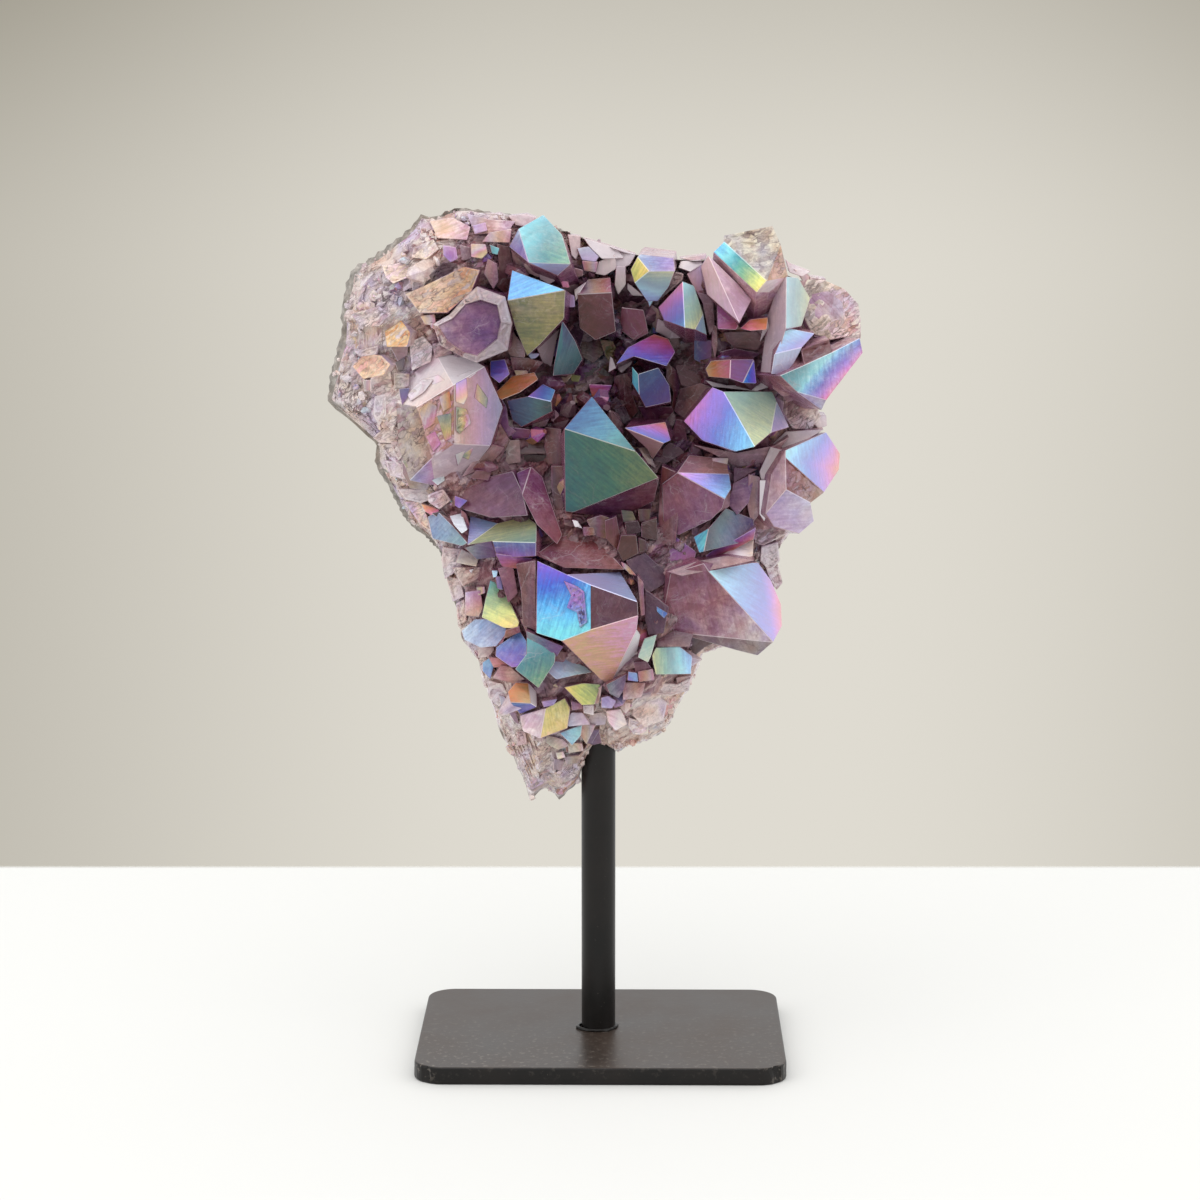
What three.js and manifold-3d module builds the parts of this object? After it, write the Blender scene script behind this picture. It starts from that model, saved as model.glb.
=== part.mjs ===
// A broken piece of amethyst geode on a steel display stand. The crystals of its hollow carry a
// thin metal film that gives them rainbow colours.
// Millimetres, +Z up. The open hollow faces -Y and +X is to its right.
// The origin is the middle of the base plate's underside.
import * as THREE from "three";
import { ConvexGeometry } from "three/addons/geometries/ConvexGeometry.js";
import { mergeVertices } from "three/addons/utils/BufferGeometryUtils.js";
import Module from "manifold-3d";

const wasm = await Module();
wasm.setup();

// ---- driving dimensions ----
const plate = { width: 101.6, depth: 76.2, thickness: 4.8, cornerRadius: 8, edgeRadius: 0.6 };
const rod = { diameter: 9.5, x: -0.8, y: 0, top: 110, sides: 40 };
const gap = 0.3; // clearance between neighbouring pieces

const wall = {
  hub: [-4, 158], // x and z of the middle that the outline is star-shaped round
  rimDepth: 9, // y of the wall's outer edge
  backBulge: 29, // how far the back stands behind the rim
  backRoundness: 2.4, // 2 is an ellipse, and more is flatter in the middle
  liningLift: 2.4, // thickness of the fine quartz that joins the crystals
  liningReach: 0.97, // how much of the outline the fine quartz covers
  seam: 0.6, // clearance between the wall and the crystals
  seamReach: 1.012, // the same clearance round the outline, as a share of its radius
  fineness: 8, // how often the edges of the ball that becomes the stone are split
};
const hollow = { x: 8, z: 196, radius: 25, depth: 15 };
const belly = { x: 4, z: 124, width: 26, height: 24, rise: 13 };
const brokenEdge = { width: 17, fall: 11, curve: 1.6 }; // the broken edge slopes back over its width

// The surface's lumps: each is the product of two waves with [x, z] radians to the millimetre.
const lumps = [
  { height: 1.3, first: [0.19, 0.11], second: [-0.07, 0.23] },
  { height: 0.8, first: [0.53, -0.31], second: [0.37, 0.61] },
];
const backLumps = { scale: 1.6, shift: 40 }; // the back's are higher, and moved along X

// Corners are listed as [x, z, y]: x and z as they line up from the eye on the plane y = listPlane,
// and y the depth that the corner has along that line, before the whole stone moves forward.
const eye = new THREE.Vector3(8.6, -844, 262.7);
const listPlane = -8;
const stoneForward = 6;
const flattenRounds = 80; // steps that bring the listed corners of each face into one plane

// ---- the wall's outline, from the top left round by the right ----
const outline = [
  [-39, 235], [-33, 234.5], [-26, 233.5], [-20, 232], [-13, 230], [-7, 227.5], [0, 225], [7, 222.5],
  [16, 221], [25, 220.5], [34, 221], [43, 219], [52, 216], [61, 213], [66, 206], [65, 197],
  [60, 188], [58, 177], [60, 168], [57.5, 158], [53, 149], [48.5, 142], [48, 134], [46, 125],
  [41, 118], [34, 115], [28, 113], [26, 107.5], [24, 103], [21, 98], [19.5, 94], [17, 90.5],
  [12, 88.5], [7, 86.5], [4.5, 85], [-1, 88.5], [-5.5, 79.5], [-7, 76],
  [-11.5, 72.3], [-15.5, 75.8], [-19.5, 72], [-21.5, 78], [-24, 83.5], [-27, 89], [-29.5, 97],
  [-32, 104], [-34, 111], [-38.5, 117], [-39.5, 125], [-42.5, 135], [-44, 141], [-47.5, 145],
  [-53.5, 150], [-57, 157], [-62, 166], [-61.5, 171], [-66.5, 176], [-75, 183], [-73.5, 191],
  [-70.5, 200], [-70.3, 209], [-67.5, 218.5], [-60.5, 222.5], [-53, 228], [-48.5, 233.3],
  [-45, 232.5],
];

// ---- the large crystals ----
// Each is the solid between its tip's faces and the same corners moved by root into the wall.
const crystals = {
  central: {
    corners: [
      [-2.5, 184, -8], [-10, 175.2, -16], [9.5, 169, -20], [15.6, 161.8, -20], [-7.6, 152.3, -11],
      [-9.8, 152.6, -10],
    ],
    faces: [[0, 1, 2], [1, 2, 3, 4, 5]],
    root: [-3, 26, -7],
  },
  upperBlue: {
    corners: [
      [-24, 218, -4], [-25.3, 209.8, -10], [-9.6, 212.6, -12], [-10, 205, -9], [-17, 197.5, -4],
      [-20, 195, -2], [-23, 202, -5],
    ],
    faces: [[0, 1, 2], [1, 2, 3, 4, 5, 6]],
    root: [2, 24, -3],
  },
  topTeal: {
    corners: [
      [-22.2, 229, -2], [-15.5, 232.8, 2], [-10.5, 227.5, -3], [-8.2, 219.6, -9], [-19.5, 220, -10],
      [-11.8, 216.5, -6], [-24.7, 224.3, -3],
    ],
    faces: [[0, 1, 2, 3, 4], [3, 4, 5], [0, 4, 6]],
    root: [3, 22, -8],
  },
  yellowTop: {
    corners: [
      [9.8, 221.5, 2], [7.9, 218, 0], [9, 214.5, 0], [12.3, 209.7, 2], [15.3, 209.6, 2], [18.3, 213.5, -1],
      [19.9, 217.8, -4], [12.9, 217.7, -5], [19.5, 221.2, 1], [10.8, 222.3, 4],
    ],
    faces: [[0, 1, 2, 7], [2, 7, 6, 5, 4, 3], [9, 0, 7, 6, 8]],
    root: [1, 20, 1],
  },
  violetPair: {
    corners: [
      [21.9, 215, -4], [15.4, 208, 0], [17, 204.5, -1],
      [22.6, 202.5, -9], [25, 213.8, 0], [27.5, 206.3, -3],
      [25.3, 202, -7], [28.5, 200.5, -2],
    ],
    faces: [[0, 1, 2, 3], [0, 3, 6, 5, 4], [5, 6, 7]],
    root: [1, 22, -7],
  },
  pinkRidge: {
    corners: [
      [28.8, 222, -2], [26.8, 219, 1], [28.5, 211.5, -2], [37.3, 203.8, -10], [36.8, 214.3, -2],
      [40.5, 210, -4],
    ],
    faces: [[1, 0, 3, 2], [0, 4, 5, 3]],
    root: [0, 20, -3],
  },
  topRight: {
    corners: [
      [30.1, 222.8, 2], [33, 225.6, 0], [33, 227.3, 3], [46, 229.9, 4], [48.2, 225, 2], [50.3, 216.3, -2],
      [44.5, 215.2, -8], [41.8, 212, -7], [45, 212, -6],
    ],
    faces: [[1, 2, 3, 4, 6], [4, 5, 6], [0, 1, 6, 7], [6, 5, 8, 7]],
    root: [-1, 17, -16],
  },
  rightTall: {
    corners: [
      [49.8, 216.3, -4], [53, 216, 0], [56.3, 210.5, 0], [54, 203, -3], [49.8, 202.3, -10], [47.8, 215, -1],
      [44.8, 205.5, 2], [43, 190.5, -4], [46.5, 190.3, -9],
    ],
    faces: [[0, 1, 2, 3, 4], [0, 4, 8, 7, 6, 5]],
    root: [0, 22, -8],
  },
  rightShelf: {
    corners: [
      [49.9, 202.5, -8], [57.6, 201, -4], [54.3, 197.3, -8],
      [50.5, 190, -9], [46, 190, -10], [46.8, 195.5, -11],
    ],
    faces: [[0, 1, 2, 5], [5, 2, 3, 4]],
    root: [-1, 18, 2],
  },
  brokenEnd: {
    corners: [
      [53.5, 211, 1], [55.5, 215.5, 3], [60, 215.4, 3], [65.5, 213, 4], [69.3, 209, 5], [70, 205, 4],
      [69.8, 200.8, 3], [62, 199.3, -1], [57, 201, -2], [54.2, 206, -1],
    ],
    faces: [[0, 1, 2, 3, 4, 5, 6, 7, 8, 9]],
    root: [-9, 17, -3],
  },
  redBlock: {
    corners: [[54, 196.7, -8], [61.5, 199.4, -6], [62.3, 196, -7], [55, 192.2, -9]],
    faces: [[0, 1, 2, 3]],
    root: [-2, 14, 2],
  },
  rightFan: {
    corners: [
      [48.3, 189.6, -11], [54.5, 192.3, -10], [62.5, 196, -8], [69.8, 199.8, -5], [70.7, 195.8, -4],
      [61, 183, -8], [59.8, 180.3, -5], [52.8, 185.3, -12],
    ],
    faces: [[0, 1, 2, 3, 4, 5, 7], [7, 5, 6]],
    root: [-13, 22, -1],
  },
  rightPair: {
    corners: [
      [30, 186.5, -7], [33.1, 185.3, -10], [41.7, 170.3, -20], [36.5, 169, -16], [27.5, 172, -9],
      [22.4, 177.3, -5], [46.2, 185.3, -4], [47.5, 182.7, -4], [46, 174, -13], [51, 175.6, -6],
    ],
    faces: [[0, 1, 2, 3, 4, 5], [1, 6, 7, 8, 2], [7, 9, 8]],
    root: [-3, 26, -3],
  },
  pinkWedge: {
    corners: [
      [6.4, 175.4, -9], [17.4, 177, -4], [18.9, 172, -6],
      [17, 171.2, -9], [14, 166.8, -3], [12.6, 169.5, -5],
    ],
    faces: [[0, 1, 2, 3], [0, 3, 4, 5]],
    root: [2, 16, 1],
  },
  farRight: {
    corners: [
      [50, 169.3, -12], [50, 167.3, -13], [61, 174.3, -2], [64.9, 168.5, 0], [64.6, 164, -1],
      [60.6, 157.8, -7], [50.3, 158.6, -14], [57, 155, -9],
      [44.8, 152, -12], [58, 150, -6], [47, 148.5, -10],
      [54, 146.5, -6], [46.3, 163, -10],
    ],
    faces: [[0, 2, 3, 4, 5, 1], [1, 5, 7, 6], [6, 7, 9, 11, 10, 8], [0, 1, 6, 8, 12]],
    root: [-8, 24, -3],
  },
  mauveMid: {
    corners: [
      [20.7, 163.2, -12], [34.8, 162.8, -10], [35.4, 159, -12], [33.7, 156, -16], [33, 153.5, -15],
      [30.2, 150.5, -14], [21, 146, -11], [17, 150, -9], [16.5, 160, -9], [24, 168, -4], [34, 167, -5],
    ],
    faces: [[0, 1, 2, 3], [0, 3, 4, 5, 6, 7, 8], [0, 9, 10, 1], [8, 9, 0]],
    root: [-3, 24, -3],
  },
  slate: {
    corners: [
      [33.8, 153.5, -8], [41.5, 150.5, -8], [42, 145, -12], [28, 141.5, -17], [29.3, 148, -16],
      [25.2, 145.6, -13], [26.7, 141.3, -16],
    ],
    faces: [[0, 1, 2, 3, 4], [4, 3, 6, 5]],
    root: [3, 20, -1],
  },
  plumLow: {
    corners: [
      [15.5, 143.5, -9], [20, 146, -9], [26, 141.5, -12], [25, 137.5, -13], [19, 136, -12],
      [15, 138.5, -10],
    ],
    faces: [[0, 1, 2, 3, 4, 5]],
    root: [0, 15, 0],
  },
  purpleRoof: {
    corners: [
      [4, 192.6, -2], [7.2, 197.2, 1], [14.3, 200.8, 2], [18.2, 199.5, 2], [20, 196, 0], [17.7, 192.2, -4],
      [9, 194.8, -5],
    ],
    faces: [[0, 1, 2, 3, 4, 5, 6]],
    root: [0, 16, -3],
  },
  darkBlue: {
    corners: [
      [8.4, 192, -3], [8.4, 187.5, -2], [10.3, 184.3, -5],
      [10, 190, -6], [15.5, 191.8, -4], [18.5, 187, -3],
      [19, 182.5, -5], [12, 181, -4],
    ],
    faces: [[0, 1, 2, 3], [3, 2, 7, 6, 5, 4]],
    root: [0, 16, -3],
  },
  amber: {
    corners: [
      [28.2, 191.3, -4], [29.7, 193.6, -2], [35, 194, -5],
      [41.3, 194, -4], [42, 187.5, -6], [38.3, 187.6, -8],
      [34.8, 188.8, -8], [29, 189.3, -6],
    ],
    faces: [[0, 1, 2, 6, 7], [2, 3, 5, 6], [3, 4, 5]],
    root: [0, 16, 1],
  },
  orangeChip: {
    corners: [[37.5, 202.3, -5], [40, 204.7, -3], [45, 205.3, -3], [44.6, 202, -5], [40, 201.7, -6]],
    faces: [[0, 1, 2, 3, 4]],
    root: [0, 14, 1],
  },
  purpleChip: {
    corners: [[31.2, 208.6, -1], [33.2, 209.6, 0], [37, 203, -4], [36.4, 202, -5], [31.4, 202.2, -3]],
    faces: [[0, 1, 2, 3, 4]],
    root: [0, 15, 0],
  },
  darkPrism: {
    corners: [
      [-6.4, 211.5, 1], [2.9, 212, 0], [4, 201.5, 2], [-1.5, 199.2, 1], [-5.8, 202.5, 3], [-3.5, 215.5, 6],
      [2.5, 216, 6],
    ],
    faces: [[0, 1, 2, 3, 4], [0, 1, 6, 5]],
    root: [0, 16, -2],
  },
  wineColumn: {
    corners: [[5.5, 208, 5], [11.5, 207.3, 4], [12.8, 201, 4], [9, 199, 6], [5, 202, 6]],
    faces: [[0, 1, 2, 3, 4]],
    root: [0, 15, 0],
  },
  smallBlue: {
    corners: [
      [-15.8, 187.3, -3], [-12.4, 185.7, -3], [-13.5, 182.6, -9], [-19.8, 184, -8], [-25.5, 182.8, -3],
      [-24, 177.5, -3], [-21.5, 175.6, -4], [-13.2, 179.8, -7],
    ],
    faces: [[0, 1, 2, 3], [3, 2, 7, 6, 5, 4]],
    root: [1, 18, -5],
  },
  indigo: {
    corners: [[-30, 193.5, -4], [-26, 194, -4], [-24.7, 190, -5], [-27.5, 187.5, -7], [-30, 189.5, -6]],
    faces: [[0, 1, 2, 3, 4]],
    root: [0, 15, 0],
  },
  amberLeft: {
    corners: [
      [-29, 184.5, -5], [-24, 189.5, -3], [-18, 190.5, -2],
      [-17, 188.5, -4], [-22, 185, -7], [-27, 183, -6],
    ],
    faces: [[0, 1, 2, 3, 4, 5]],
    root: [0, 15, -2],
  },
  tealSliver: {
    corners: [
      [-10.5, 204.5, -2], [-12.8, 192, -2], [-13, 189.5, -1],
      [-10.5, 197, -6], [-7, 199, -2], [-5, 194, -1],
      [-7.5, 190, -3],
    ],
    faces: [[0, 3, 2, 1], [0, 4, 5, 6, 2, 3]],
    root: [1, 18, -2],
  },
  bigLow: {
    corners: [
      [-17.5, 139, -18], [-9.3, 135.2, -24], [5.3, 135.9, -20], [10, 127.7, -22], [-3, 132.4, -28],
      [-3, 119.8, -30], [-10.8, 116.8, -26], [-17.8, 119, -22], [10.2, 123.8, -23], [9.8, 120, -23],
      [2.6, 105, -19], [10.8, 118.5, -19], [9.5, 112, -17], [0.8, 105, -20],
    ],
    faces: [[0, 1, 4, 5, 6, 7], [1, 2, 3, 4], [4, 3, 8, 5], [6, 5, 8, 9, 10, 13], [9, 11, 12, 10]],
    root: [-3, 28, -4],
  },
  brownCentre: {
    corners: [
      [-18, 140.5, -14], [-11, 145.5, -10], [-4.5, 147.5, -8],
      [0, 143.5, -11], [6.5, 136.5, -17], [-10, 137, -20],
    ],
    faces: [[0, 1, 2, 3, 4, 5]],
    root: [0, 18, 3],
  },
  lowRight: {
    corners: [
      [29.5, 136, -22], [42.8, 138.6, -10], [46.5, 133.5, -9], [49.3, 127, -9], [49.6, 121, -11],
      [47.2, 116.5, -17], [43, 112.8, -15], [37, 114.3, -17], [20, 119.2, -18], [17.3, 126, -15],
      [19, 135.5, -15], [28, 138.3, -18],
    ],
    faces: [[0, 1, 2, 3, 4, 5], [0, 5, 8, 9, 10, 11], [5, 6, 7, 8], [0, 11, 1]],
    root: [-9, 25, 2],
  },
  smallGreen: {
    corners: [
      [15, 115, -13], [21.5, 115.3, -12], [25, 112.6, -10], [24.7, 107.6, -11], [15, 107.4, -14],
      [13.9, 112.8, -14],
    ],
    faces: [[0, 1, 2, 3, 4, 5]],
    root: [-1, 17, -1],
  },
  smallYellow: {
    corners: [
      [11.8, 117.4, -14], [15.3, 118.6, -12], [13.8, 112.8, -16], [12.9, 110.8, -15], [10, 112.3, -14],
    ],
    faces: [[0, 1, 2, 3, 4]],
    root: [0, 15, 0],
  },
  lowTealLeft: {
    corners: [
      [-28.8, 115, -13], [-22.3, 119.5, -12], [-20.3, 116.5, -16], [-20.5, 110, -17], [-24.5, 109.3, -15],
      [-29, 112.5, -12],
    ],
    faces: [[0, 1, 2, 3, 4, 5]],
    root: [2, 16, 0],
  },
  lowTeal: {
    corners: [
      [-20.4, 119, -17], [-15, 116, -21], [-12.5, 113, -20], [-12.8, 110.5, -20], [-17.2, 103.6, -20],
      [-23.6, 108.8, -16], [-20.5, 113, -18],
    ],
    faces: [[0, 1, 2, 3, 4, 5, 6]],
    root: [2, 18, 1],
  },
  lowTealRight: {
    corners: [
      [-12.5, 113, -17], [-10.5, 115.7, -15], [-2.5, 108, -14], [-6.5, 107.3, -17], [-12.3, 106, -19],
      [-14.5, 108, -18],
    ],
    faces: [[0, 1, 2, 3, 4, 5]],
    root: [0, 16, 1],
  },
  lowOrange: {
    corners: [
      [-25.7, 102.5, -13], [-23.5, 105.2, -12], [-20, 105, -14], [-17.8, 102.5, -12], [-17.7, 98.3, -13],
      [-19.3, 99.3, -17], [-25, 99.6, -16], [-22.3, 96.3, -14],
    ],
    faces: [[0, 1, 2, 5, 6], [2, 3, 4, 5], [6, 5, 4, 7]],
    root: [2, 16, 0],
  },
  lowLime: {
    corners: [[-10.2, 103.8, -17], [-5, 105, -15], [0, 104.7, -14], [-1.8, 99, -16], [-5.3, 98.8, -18]],
    faces: [[0, 1, 2, 3, 4]],
    root: [0, 16, 0],
  },
  lowGold: {
    corners: [
      [-22.5, 95.8, -12], [-15.3, 97.9, -16], [-16.8, 89.4, -16], [-21.5, 91.5, -12], [-10, 100.8, -12],
      [-8.5, 98, -13], [-9.3, 92.3, -15],
    ],
    faces: [[0, 1, 2, 3], [1, 4, 5, 6, 2]],
    root: [3, 16, 1],
  },
  lowIce: {
    corners: [[-11.5, 91, -13], [-5.2, 93.4, -12], [-5.6, 90.2, -13], [-8, 87.5, -14]],
    faces: [[0, 1, 2, 3]],
    root: [1, 14, 2],
  },
  leftYellow: {
    corners: [
      [-30, 135.3, -8], [-28, 134.5, -7], [-22.4, 122, -14], [-22.8, 120.2, -15], [-26.5, 120.3, -16],
      [-32.7, 123.3, -12], [-31.5, 129, -10],
    ],
    faces: [[0, 1, 2, 3, 4, 5, 6]],
    root: [4, 18, 0],
  },
  leftPale: {
    corners: [
      [-38.3, 119.5, -5], [-34.5, 122.8, -6], [-27, 122.8, -10], [-25.3, 119.8, -12], [-28.7, 115.3, -13],
      [-33, 114.8, -9], [-37.5, 117, -6],
    ],
    faces: [[0, 1, 2, 3, 4, 5, 6]],
    root: [4, 16, 1],
  },
  leftTeal: {
    corners: [
      [-47.3, 151, -4], [-44.5, 152.5, -4], [-40, 148, -9],
      [-36.5, 143.8, -12], [-38, 143, -11], [-46, 145, -5],
    ],
    faces: [[0, 1, 2, 3, 4, 5]],
    root: [6, 16, 1],
  },
  leftIce: {
    corners: [
      [-41.3, 151.2, -7], [-38, 152, -7], [-36.4, 147.5, -11], [-38, 146.4, -12], [-40.3, 149, -10],
    ],
    faces: [[0, 1, 2, 3, 4]],
    root: [2, 14, 0],
  },
  greenBand: {
    corners: [
      [-36.5, 143.2, -10], [-28, 149.3, -9], [-20.5, 151.2, -10], [-17.6, 149, -13], [-17.7, 144, -19],
      [-29.7, 144.3, -16], [-28.3, 139.6, -16], [-17.8, 140.2, -19], [-35.7, 151.3, -5],
    ],
    faces: [[0, 1, 2, 3, 4, 5], [5, 4, 7, 6], [8, 1, 0]],
    root: [3, 20, -1],
  },
  brownLeft: {
    corners: [
      [-38, 158, -6], [-31, 162, -5], [-24, 163.5, -7],
      [-21.5, 158, -13], [-20, 151.4, -15], [-30, 150.8, -12],
      [-37.5, 153, -8],
    ],
    faces: [[0, 1, 2, 3, 4, 5, 6]],
    root: [2, 18, 0],
  },
  mauvePrism: {
    corners: [
      [-23, 163, -7], [-19, 164.8, -6], [-16, 162, -7],
      [-13, 153, -9], [-10.6, 146, -12], [-12, 143.5, -14],
      [-17.5, 149, -16], [-21.5, 157, -13],
    ],
    faces: [[0, 1, 7], [1, 2, 3, 4, 5, 6, 7]],
    root: [1, 18, 0],
  },
  leftMauve: {
    corners: [
      [-45, 196, 1], [-36, 194.5, 0], [-31.5, 192, 0], [-26.6, 181, -5], [-30, 170.5, -7], [-36, 163, -6],
      [-45, 159.5, -4], [-52, 161, -1], [-55, 170, -1], [-55.5, 182, 0], [-52, 189, 1], [-40, 187, -12],
      [-40, 171, -14], [-50, 181, -9], [-46, 167, -10],
    ],
    faces: [
      [2, 3, 4, 12, 11], [0, 1, 2, 11], [4, 5, 6, 14, 12],
      [9, 13, 14, 7, 8], [10, 0, 11, 13, 9], [11, 12, 14, 13],
      [6, 7, 14],
    ],
    root: [3, 18, -1],
  },
  darkPlate: {
    corners: [
      [-44, 203, -12], [-40, 205, -12], [-36.5, 208.8, -11],
      [-32.5, 210, -11], [-28, 208.6, -12], [-27, 204, -13],
      [-28, 199.5, -14], [-33.5, 195, -14], [-37, 195.8, -14], [-41.5, 199, -13], [-46, 204, -8],
      [-36, 211.5, -7], [-27, 210.5, -8], [-25.5, 200, -10], [-33, 193, -10],
    ],
    faces: [[0, 1, 2, 3, 4, 5, 6, 7, 8, 9]],
    root: [1, 20, 0],
  },
  goldLedge: {
    corners: [
      [-52.8, 211.5, -6], [-49, 206.5, -10], [-41.5, 206.5, -11], [-35, 212, -9], [-32.5, 218, -5],
      [-37, 219, -3], [-45, 215, -5],
    ],
    faces: [[0, 1, 2, 3, 4, 5, 6]],
    root: [2, 18, -2],
  },
  goldPatch: {
    corners: [[-58.5, 201.5, -3], [-54, 204.5, -4], [-51.5, 201, -8], [-52.5, 197.3, -9], [-58, 197.3, -6]],
    faces: [[0, 1, 2, 3, 4]],
    root: [5, 15, 0],
  },
  peachPatch: {
    corners: [
      [-67.3, 192, 0], [-64, 195.6, -1], [-59.5, 195, -4], [-57, 192.5, -6], [-59, 189.6, -6],
      [-64.5, 188.6, -3],
    ],
    faces: [[0, 1, 2, 3, 4, 5]],
    root: [7, 13, 0],
  },
};

// ---- the small crystals that fill the spaces between the large ones ----
const druse = {
  seed: 7,
  fields: [
    // middle x, z, half width, half height, count, smallest and largest radius
    { x: 8, z: 190, halfWidth: 42, halfHeight: 36, count: 30, radius: [2.6, 4.8] },
    { x: 0, z: 128, halfWidth: 40, halfHeight: 34, count: 22, radius: [2.4, 4.4] },
    { x: -1, z: 90, halfWidth: 22, halfHeight: 14, count: 18, radius: [2, 3.2] },
    { x: -55, z: 196, halfWidth: 16, halfHeight: 34, count: 20, radius: [2.4, 4.2] },
  ],
  length: [1.7, 2.3], // shortest and longest, in radii
  tipAngle: 38.2, // between a tip face and the crystal's axis, in degrees
  sunk: 7, // length hidden in the wall
  lean: 0.45, // most sideways turn against straight out
  reach: 0.94, // none grows nearer the outline than this
};

// ---- finishes ----
const paintedSteel = new THREE.MeshStandardMaterial({ color: 0x2b2725, roughness: 0.5, metalness: 0.3 });
const wallStone = new THREE.MeshStandardMaterial({ color: 0xcdbfbd, roughness: 0.75, metalness: 0 });
const auraAmethyst = new THREE.MeshStandardMaterial({ color: 0x9a86a8, roughness: 0.15, metalness: 0.35 });

// ---- solids and meshes ----
function toSolid(geometry) {
  const bare = geometry.index ? geometry.toNonIndexed() : geometry.clone();
  bare.deleteAttribute("normal");
  bare.deleteAttribute("uv");
  const merged = mergeVertices(bare, 1e-4);
  return new wasm.Manifold(
    new wasm.Mesh({
      numProp: 3,
      vertProperties: merged.attributes.position.array,
      triVerts: new Uint32Array(merged.index.array),
    }),
  );
}

function toMesh(name, solid, material) {
  const made = solid.getMesh();
  const geometry = new THREE.BufferGeometry();
  geometry.setAttribute("position", new THREE.BufferAttribute(new Float32Array(made.vertProperties), 3));
  geometry.setIndex(new THREE.BufferAttribute(new Uint32Array(made.triVerts), 1));
  geometry.computeVertexNormals();
  const mesh = new THREE.Mesh(geometry, material);
  mesh.name = name;
  return mesh;
}

// The largest of the bodies that a cut leaves.
function largestBody(solid) {
  return solid.decompose().reduce((best, body) => (body.volume() > best.volume() ? body : best));
}

function uprightCylinder(radius, bottom, top, sides) {
  const cylinder = new THREE.CylinderGeometry(radius, radius, top - bottom, sides);
  cylinder.rotateX(Math.PI / 2);
  cylinder.translate(rod.x, rod.y, (bottom + top) / 2);
  return toSolid(cylinder);
}

// ---- the stand ----
function basePlate() {
  const halfWidth = plate.width / 2 - plate.edgeRadius;
  const halfDepth = plate.depth / 2 - plate.edgeRadius;
  const r = plate.cornerRadius;
  const shape = new THREE.Shape();
  shape.moveTo(halfWidth, -halfDepth + r);
  shape.lineTo(halfWidth, halfDepth - r);
  shape.absarc(halfWidth - r, halfDepth - r, r, 0, Math.PI / 2);
  shape.absarc(-halfWidth + r, halfDepth - r, r, Math.PI / 2, Math.PI);
  shape.absarc(-halfWidth + r, -halfDepth + r, r, Math.PI, Math.PI * 1.5);
  shape.absarc(halfWidth - r, -halfDepth + r, r, Math.PI * 1.5, Math.PI * 2);
  const geometry = new THREE.ExtrudeGeometry(shape, {
    depth: plate.thickness - 2 * plate.edgeRadius,
    bevelThickness: plate.edgeRadius,
    bevelSize: plate.edgeRadius,
    bevelSegments: 2,
    curveSegments: 8,
  });
  geometry.translate(0, 0, plate.edgeRadius);
  return toMesh("base_plate", toSolid(geometry), paintedSteel);
}

function standRod() {
  const solid = uprightCylinder(rod.diameter / 2, plate.thickness + gap, rod.top, rod.sides);
  return toMesh("rod", solid, paintedSteel);
}

// ---- the stone's wall ----
// A listed corner at depth y, on the line from the eye.
function place(x, z, y) {
  const depth = y - stoneForward;
  const reach = (depth - eye.y) / (listPlane - eye.y);
  return new THREE.Vector3(eye.x + (x - eye.x) * reach, depth, eye.z + (z - eye.z) * reach);
}

// Where a point lies between the hub, at 0, and the outline, at 1.
function shareOfOutline(x, z) {
  let share = 0;
  outline.forEach(([ax, az], i) => {
    const [bx, bz] = outline[(i + 1) % outline.length];
    const a = new THREE.Vector2(ax - wall.hub[0], az - wall.hub[1]);
    const b = new THREE.Vector2(bx - wall.hub[0], bz - wall.hub[1]);
    const p = new THREE.Vector2(x - wall.hub[0], z - wall.hub[1]);
    const whole = a.cross(b);
    const alongA = p.cross(b) / whole;
    const alongB = a.cross(p) / whole;
    if (alongA >= 0 && alongB >= 0) share = alongA + alongB;
  });
  return share;
}

function unevenness(x, z) {
  const wave = ([alongX, alongZ]) => Math.sin(alongX * x + alongZ * z);
  return lumps.reduce((sum, lump) => sum + lump.height * wave(lump.first) * wave(lump.second), 0);
}

function bump(x, z, middle, halfWidth, halfHeight) {
  return Math.exp(-(((x - middle.x) / halfWidth) ** 2 + ((z - middle.z) / halfHeight) ** 2) / 2);
}

// Depth of the wall's front at a point that lies the fraction share of the way to the outline.
function frontDepth(x, z, share) {
  const bowl = hollow.depth * bump(x, z, hollow, hollow.radius, hollow.radius);
  const rise = belly.rise * bump(x, z, belly, belly.width, belly.height);
  const radius = Math.hypot(x - wall.hub[0], z - wall.hub[1]) / Math.max(share, 0.01);
  const inset = radius * (1 - share); // distance to the outline
  const slope = Math.max(0, 1 - inset / brokenEdge.width) ** brokenEdge.curve * brokenEdge.fall;
  return wall.rimDepth - brokenEdge.fall + bowl - rise + slope + unevenness(x, z);
}

function backDepth(x, z, share) {
  const round = Math.sqrt(1 - share ** wall.backRoundness);
  const uneven = backLumps.scale * unevenness(x + backLumps.shift, z);
  return wall.rimDepth + wall.backBulge * round + uneven;
}

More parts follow.
